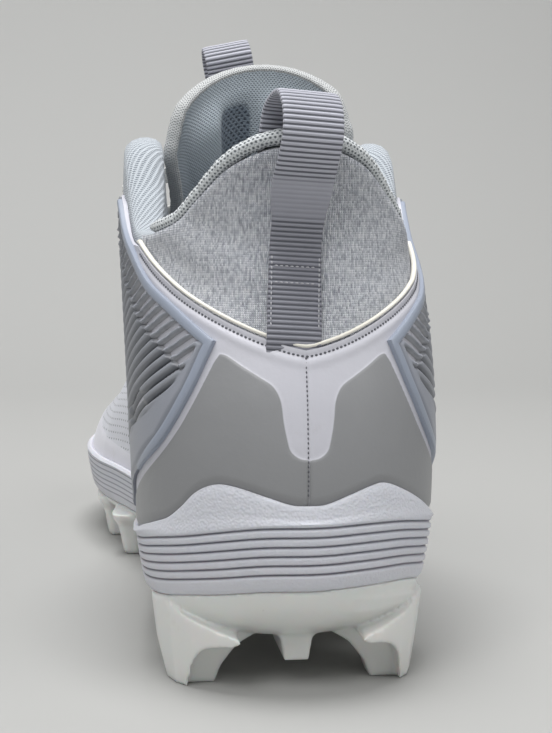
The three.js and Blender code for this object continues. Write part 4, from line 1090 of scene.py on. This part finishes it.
def tongue_share_at(y):
    shares = np.linspace(0, 1, 401)
    return float(np.interp(-y, -tongue_face(0.0, shares)[:, 1], shares))


def lace_bar(from_turn, to_turn, lift=0.0):
    """A flat woven lace from one eyelet over the eyestay and the tongue to an eyelet opposite."""
    above = eyestay_gap + overlay_wall + 0.7 + 3 * clearance + lace_thickness / 2
    spots, normals = [], []

    def on_upper(around, up, extra):
        spot, normal = upper_point(float(around), float(up), above + extra)
        spots.append(spot)
        normals.append(normal)

    def on_tongue(across, y):
        share = tongue_share_at(y)
        normal = -tongue_inward(np.array(across), np.array(share))
        spots.append(tongue_face(across, share) + normal * (lace_thickness / 2 + 8 * clearance + lift))
        normals.append(normal)

    y0, y1 = (float(upper_point(float(turn), 1.0)[0][1]) for turn in (from_turn, to_turn))
    on_upper(from_turn, eyelet_up, -0.2)
    on_upper(from_turn + 0.06 * (-to_turn - from_turn), 1, 1)
    on_tongue(0.36 * np.sign(from_turn), y0 + 0.34 * (y1 - y0))
    on_tongue(0.0, (y0 + y1) / 2)
    on_tongue(0.36 * np.sign(to_turn), y0 + 0.66 * (y1 - y0))
    on_upper(to_turn + 0.06 * (-from_turn - to_turn), 1, 1)
    on_upper(to_turn, eyelet_up, -0.2)
    path = curve_through(spots, 90)
    share, run = np.linspace(0, 1, len(normals)), np.linspace(0, 1, 90)
    facing = unit(np.stack([np.interp(run, share, np.array(normals)[:, k]) for k in range(3)], -1))
    ends = []
    for turn in (from_turn, to_turn):
        centre, normal = upper_point(float(turn), eyelet_up)
        ends.append(centre + normal * np.array((1.6, -0.4, -2.4))[:, None])
    narrow = 1 - 0.42 * (1 - ease(np.minimum(run, 1 - run), 0.0, 0.06))
    full = np.vstack([ends[0][::-1], path, ends[1]])
    widths = np.concatenate([[0.5, 0.52, 0.55], narrow, [0.55, 0.52, 0.5]])
    facings = np.vstack([np.repeat(facing[:1], 3, 0), facing, np.repeat(facing[-1:], 3, 0)])
    return full, facings, widths


def make_lace():
    bars = [lace_bar(EYELET_TURNS[-1], -EYELET_TURNS[-1])]
    for k in range(eyelet_pairs - 1):
        bars.append(lace_bar(EYELET_TURNS[k], -EYELET_TURNS[k + 1]))
        bars.append(lace_bar(EYELET_TURNS[k + 1], -EYELET_TURNS[k], 1.3))
    whole = bmesh.new()
    profile = round_profile(lace_width, lace_thickness, 20, 0.55)
    for path, facing, width in bars:
        add_form(whole, sweep(path, facing, profile, width=width, lift=1 + 0.9 * (1 - width)))
    return whole


# The finishes of each piece

def make_foam():
    material, tree = new_material("white foam", Specular_IOR_Level=0.35, Subsurface_Weight=0.06)
    base, rough, _ = plain_look(tree, colour(219, 218, 225), 0.96, (0.55, 0.66), 620.0, 0.10)
    pebble = node(tree, "TexVoronoi", {"Vector": place_on_shoe(tree), "Scale": 1500.0}, feature="SMOOTH_F1")
    # Painted shade: the grooves round the heel are painted darker, as the shade inside them.
    groove_shade = attribute(tree, "cut").step(0.25, 0.95) * 0.75
    return finish(material, groove_shade.blend(base, colour(112, 112, 124)), rough, pebble, 0.16)


def make_upper_fabric():
    """Heather knit at the heel, spacer mesh at the collar and inside, and pierced synthetic in front."""
    material, tree = new_material("upper fabric", Specular_IOR_Level=0.25, Sheen_Weight=0.25)
    place = pattern_place(tree)
    turn, within, collar, border = (attribute(tree, name) for name in ("turn", "within", "collar", "border"))
    knit = use(tree, knit_group, Place=place, Pitch=0.52)
    mesh = use(tree, mesh_group, Place=place, Pitch=0.85, Open=0.26)
    pierced = use(tree, mesh_group, Place=place, Pitch=3.1, Open=0.15)
    skin = use(tree, skin_group, Grain=1100.0, Patch=30.0)
    yarn = tree.nodes.new("ShaderNodeValToRGB")
    put(tree, knit["Yarn"], yarn.inputs[0])
    ramp = yarn.color_ramp
    ramp.elements[0].position, ramp.elements[0].color = 0.30, colour(150, 155, 166)
    ramp.elements[1].position, ramp.elements[1].color = 0.90, colour(240, 242, 246)
    for at, tone in ((0.48, colour(180, 184, 194)), (0.66, colour(214, 217, 224))):
        ramp.elements.new(at).color = tone
    knitted = knit["Gap"].blend(Value(tree, yarn.outputs[0]), colour(132, 137, 148))
    lined = mesh["Hole"].blend(colour(200, 206, 212), colour(150, 158, 168))
    lined = (skin["Shade"] * 0.35).blend(lined, colour(170, 180, 190))
    front = skin["Shade"].blend(colour(196, 198, 206), colour(206, 208, 216))
    front = pierced["Hole"].blend(front, colour(78, 82, 90))
    overlay = skin["Shade"].blend(colour(210, 210, 219), colour(218, 218, 226))
    is_knit = turn.step(43.6, 42.8) * within.step(0.9, 0.1)
    at_collar = turn.step(42.8, 43.6) * turn.step(98, 92)
    is_lined = within.step(0.05, 0.2).calc("MAXIMUM", at_collar * collar.step(-0.3, 0.3))
    is_overlay = border.step(0.15, -0.15)
    base = (skin["Grime"] * 0.3).blend(is_overlay.blend(front, overlay), colour(176, 172, 160))
    base = is_knit.blend(is_lined.blend(base, lined), knitted)
    cloth = is_knit.calc("MAXIMUM", is_lined)
    bare = 1.0 - cloth
    height = knit["Height"] * is_knit + mesh["Height"] * is_lined
    height = height - pierced["Hole"] * (1.0 - is_overlay) * bare * 1.2 + skin["Height"] * bare * 0.25
    return finish(material, base, cloth * 0.4 + 0.55, height, 0.34)


def make_counter_finish():
    """Pale smooth synthetic with mid-grey films."""
    material, tree = new_material("heel counter", Specular_IOR_Level=0.45)
    skin = use(tree, skin_group, Grain=850.0, Patch=26.0)
    film = attribute(tree, "film").step(-0.12, 0.18)
    pale = skin["Shade"].blend(colour(196, 196, 204), colour(205, 205, 213))
    grey = skin["Shade"].blend(colour(138, 139, 141), colour(149, 150, 152))
    base = (skin["Grime"] * 0.16).blend(film.blend(pale, grey), colour(150, 148, 140))
    wrinkle = place_on_shoe(tree).noise(130.0, 4.0)
    return finish(material, base, film * -0.12 + (skin["Shade"] * 0.12 + 0.46),
                  skin["Height"] * 0.3 + wrinkle * 1.6, 0.10)


def make_panel_finish():
    """Satin blue-grey moulding with paler cells between its slats, a painted highlight on the raised tops of
    its relief and painted shade in its low parts.
    """
    material, tree = new_material("side panel", Specular_IOR_Level=0.5, Coat_Weight=0.12, Coat_Roughness=0.3)
    skin = use(tree, skin_group, Grain=900.0, Patch=30.0)
    plate, cell, relief, braid = (attribute(tree, name) for name in ("plate", "cell", "relief", "braid"))
    base = skin["Shade"].blend(colour(126, 130, 138), colour(138, 142, 150))
    # Painted highlight: the raised tops of the slats and scales are painted paler.
    raised = relief.step(0.45, 0.95) * 0.5
    for share, tone in ((braid, (120, 123, 130)), (plate, (138, 142, 152)), (raised, (176, 179, 188)),
                        (cell, (196, 196, 199))):
        base = share.blend(base, colour(*tone))
    # Painted shade: the low parts of the relief are painted dark, less so in the pale cells.
    shaded = relief.step(0.1, -0.8).calc("MULTIPLY", 0.85 - cell * 0.7, use_clamp=True)
    base = shaded.blend(base, colour(52, 54, 60))
    return finish(material, base, skin["Shade"] * 0.12 + 0.36, skin["Height"], 0.05)


def make_webbing():
    """Ribbed ribbon with fine threads across. The low lines between the ribs are painted dark as shade, and the
    heel loop's lower part is painted darker as shade.
    """
    material, tree = new_material("pull loop webbing", Specular_IOR_Level=0.35, Sheen_Weight=0.15)
    light, dark = colour(188, 189, 200), colour(82, 84, 92)
    place = pattern_place(tree)
    rib = ((place.part(0) * (2 * math.pi / rib_pitch)).calc("COSINE") + 1.0) * 0.5
    thread = (place.part(1) * (math.pi / 0.5)).calc("SINE").calc("ABSOLUTE")
    skin = use(tree, skin_group, Grain=1300.0, Patch=50.0)
    # Painted shade: below 140 mm, and fully by 112 mm, the ribbon is painted darker, as the shade on the heel
    # loop's lower part.
    low = place_on_shoe(tree).part(2).step(0.140, 0.112)
    # Painted shade: the low lines between the ribs are painted dark, as the shade in the grooves.
    line = (1.0 - rib.step(0.1, 0.6)) * attribute(tree, "ribbed")
    base = (low * 0.55).blend(skin["Shade"].blend(light, scaled(light, 0.9)), dark)
    return finish(material, (line * 0.9).blend(base, dark), 0.62, thread * 0.35 + rib * 0.4, 0.1)


def make_woven_finish(name, light, dark, pitch, wide, depth):
    """A small open weave. wide: how far its holes reach, as a share of the pitch."""
    material, tree = new_material(name, Specular_IOR_Level=0.3, Sheen_Weight=0.2)
    light, dark = colour(*light), colour(*dark)
    weave = use(tree, mesh_group, Place=pattern_place(tree), Pitch=pitch, Open=wide)
    skin = use(tree, skin_group, Grain=1300.0, Patch=50.0)
    base = weave["Hole"].blend(skin["Shade"].blend(light, scaled(light, 0.9)), dark)
    return finish(material, base, 0.85, weave["Height"] + skin["Height"] * 0.3, depth)


def make_tongue_finish():
    """Light spacer mesh in front, blue-grey mesh behind, with wide dark holes down the channel."""
    material, tree = new_material("tongue fabric", Specular_IOR_Level=0.25, Sheen_Weight=0.25)
    place = pattern_place(tree)
    fine = use(tree, mesh_group, Place=place, Pitch=0.9, Open=0.26)
    wide = use(tree, mesh_group, Place=place, Pitch=1.6, Open=0.3)
    within, channel = attribute(tree, "within"), attribute(tree, "channel")
    front = fine["Hole"].blend(colour(198, 202, 208), colour(120, 126, 136))
    back = fine["Hole"].blend(colour(196, 206, 214), colour(134, 145, 156))
    deep = wide["Hole"].blend(colour(138, 150, 163), colour(78, 88, 100))
    base = channel.step(0.25, 0.6).blend(within.step(0.4, 0.6).blend(front, back), deep)
    return finish(material, base, 0.92, fine["Height"] + wide["Height"] * channel, 0.28)


foam, upper_fabric, counter_finish = make_foam(), make_upper_fabric(), make_counter_finish()
panel_finish, tongue_finish, loop_webbing = make_panel_finish(), make_tongue_finish(), make_webbing()
binding_finish = make_woven_finish("collar binding", (224, 228, 230), (112, 120, 126), 1.15, 0.26, 0.4)
edge_finish = make_woven_finish("tongue binding", (208, 210, 210), (140, 144, 148), 0.8, 0.24, 0.25)
lace_finish = make_woven_finish("woven lace", (226, 226, 222), (140, 140, 138), 0.8, 0.2, 0.25)
footbed = make_woven_finish("footbed", (168, 176, 186), (120, 128, 138), 0.9, 0.22, 0.15)
plate = plain_material("white plate", colour(231, 232, 229), 0.96, (0.24, 0.36), 260.0, 0.03, 0.16,
                       Coat_Weight=0.35, Coat_Roughness=0.2, Subsurface_Weight=0.18, Subsurface_Scale=0.004)
frame_finish = plain_material("side frame", colour(152, 160, 175), 0.95, (0.3, 0.42), 900.0, 0.03, 0.1,
                              Coat_Weight=0.2, Coat_Roughness=0.25)
piping_finish = plain_material("cream piping", colour(240, 237, 226), 0.96, (0.42, 0.5), 1500.0, 0.03, 0.15)
eyestay_finish = plain_material("eyestay", colour(206, 207, 216), 0.95, (0.48, 0.6), 1100.0, 0.08, 0.25)
eyelet_finish = plain_material("eyelet", colour(150, 156, 168), 0.95, (0.35, 0.45), 900.0, 0.03, 0.2)
dark_thread = plain_material("grey thread", colour(96, 98, 104), 0.9, (0.7, 0.8), 2500.0, 0.04, 0.1)
pale_thread = plain_material("pale thread", colour(196, 196, 202), 0.9, (0.7, 0.8), 2500.0, 0.04, 0.1)


# The shoe

piece("upper_shell", make_upper(), upper_fabric, "knit", "upper", crease=None)
piece("counter_shell", make_counter(), counter_finish, "counter", "heel_counter", crease=45)
for side, word in ((1, "outer"), (-1, "inner")):
    piece(f"side_panel_{word}", make_side_panel(side), panel_finish, "frame", crease=60)
    piece(f"frame_{word}", make_side_frame(side), frame_finish, "frame", f"side_frame_{word}", crease=35)
    piece(f"eyestay_{word}_skin", make_eyestay(side), eyestay_finish, "counter", f"eyestay_{word}")
    for k, turn in enumerate(EYELET_TURNS):
        row = f"{word}_{k + 1}"
        piece(f"ring_{row}", make_eyelet(side * turn), eyelet_finish, "eyelet", f"eyelet_{row}")
piece("piping_roll", make_piping(), piping_finish, "trim", "heel_piping")
collar_roll = piece("binding_roll", make_binding(), binding_finish, "binding", "collar_binding")
piece("heel_loop_ribbon", make_heel_loop(), loop_webbing, "webbing", "heel_loop", crease=None)
piece("tongue_loop_ribbon", make_tongue_loop(), loop_webbing, "webbing", "tongue_loop", crease=None)
tongue_pad_piece = piece("tongue_pad", make_tongue(), tongue_finish, "lining", "tongue")
piece("tongue_edge", make_tongue_edge(), edge_finish, "trim")
piece("foam_sole", make_midsole(), foam, "foam", "midsole", crease=70)
melt(piece("plate_with_studs", make_outsole(), plate, "plate", "outsole", crease=None),
     voxel=0.62, rounds=9, kept=0.58)
piece("sock_liner", make_insole(), footbed, "footbed", "insole")
piece("lace_run", make_lace(), lace_finish, "trim", "lace")


# Stitches

edge_around = np.linspace(-binding_end + 1, binding_end - 1, 240)
edge_row = upper_at(edge_around, counter_edge(edge_around) - edge_seam, counter_out - 0.16)
centre_z = np.linspace(counter_edge(0.0) - 1.2, 51.5, 80)
on_film = film_height * (centre_z < 61)
centre_row = upper_at(np.full(80, centre_seam), centre_z, counter_out - 0.2 + on_film)
piece("edge_stitches", stitches([edge_row], 0.85, 0.3, 0.62, 0.5), dark_thread, "trim")
piece("centre_stitches", stitches([centre_row], 0.8, 0.35, 0.42, 0.45), dark_thread, "trim")
piece("loop_stitches", make_loop_stitches(), pale_thread, "trim")


# Floor, light and camera

def make_floor():
    form = bmesh.new()
    curve = [(-2.5, 0.0), (0.6, 0.0)] + [(0.6 + 0.9 * math.sin(a), 0.9 - 0.9 * math.cos(a))
                                         for a in np.linspace(0.1, math.pi / 2, 14)] + [(1.5, 3.0)]
    verts = [form.verts.new((-3.0, y, z)) for y, z in curve]
    edges = [form.edges.new(pair) for pair in zip(verts[:-1], verts[1:])]
    swept = bmesh.ops.extrude_edge_only(form, edges=edges)["geom"]
    bmesh.ops.translate(form, verts=[v for v in swept if isinstance(v, bmesh.types.BMVert)], vec=(6.0, 0, 0))
    bmesh.ops.recalc_face_normals(form, faces=form.faces)
    mesh = bpy.data.meshes.new("floor")
    form.to_mesh(mesh)
    form.free()
    mesh.shade_smooth()
    floor = bpy.data.objects.new("floor", mesh)
    bpy.context.scene.collection.objects.link(floor)
    material, tree = new_material("pale floor", Specular_IOR_Level=0.1)
    # Painted shade: the floor is painted darker towards the camera and paler further back, as the fall of the
    # light.
    ahead = place_on_shoe(tree).part(1).step(-0.2, 1.5)
    mesh.materials.append(finish(material, ahead.blend(colour(174, 174, 172), colour(222, 222, 220)), 0.9))


def add_light(name, place, aim, size, power):
    data = bpy.data.lights.new(name, "AREA")
    data.shape = "DISK"
    data.size, data.energy = size, power
    light = bpy.data.objects.new(name, data)
    light.location = place
    light.rotation_euler = (Vector(aim) - Vector(place)).to_track_quat("-Z", "Y").to_euler()
    bpy.context.scene.collection.objects.link(light)


def add_camera():
    aim, roll = Vector((0.13541, 0.98603, -0.08567)), math.radians(0.37)
    focal_pixels, picture_height = 1410, 733
    data = bpy.data.cameras.new("camera")
    data.sensor_fit, data.sensor_height = "VERTICAL", 36.0
    data.lens = focal_pixels / picture_height * data.sensor_height
    camera = bpy.data.objects.new("camera", data)
    camera.location = (-0.0538, -0.4797, 0.1128)
    turn = aim.to_track_quat("-Z", "Y").to_matrix() @ Matrix.Rotation(roll, 3, "Z")
    camera.rotation_euler = turn.to_euler()
    bpy.context.scene.collection.objects.link(camera)
    bpy.context.scene.camera = camera


make_floor()
add_light("key", (-0.5, -0.9, 1.1), (0, -0.08, 0.07), 0.6, 5.5)
add_light("fill", (0.8, -0.7, 0.8), (0, -0.08, 0.07), 0.9, 3.2)
add_light("top", (-0.08, -0.15, 1.25), (0, -0.05, 0.05), 0.7, 14.0)
world = bpy.data.worlds.new("studio")
world.use_nodes = True
world.node_tree.nodes["Background"].inputs[0].default_value = (0.98, 0.99, 1.0, 1.0)
world.node_tree.nodes["Background"].inputs[1].default_value = 0.3
bpy.context.scene.world = world
bpy.context.scene.view_settings.view_transform = "Standard"
add_camera()
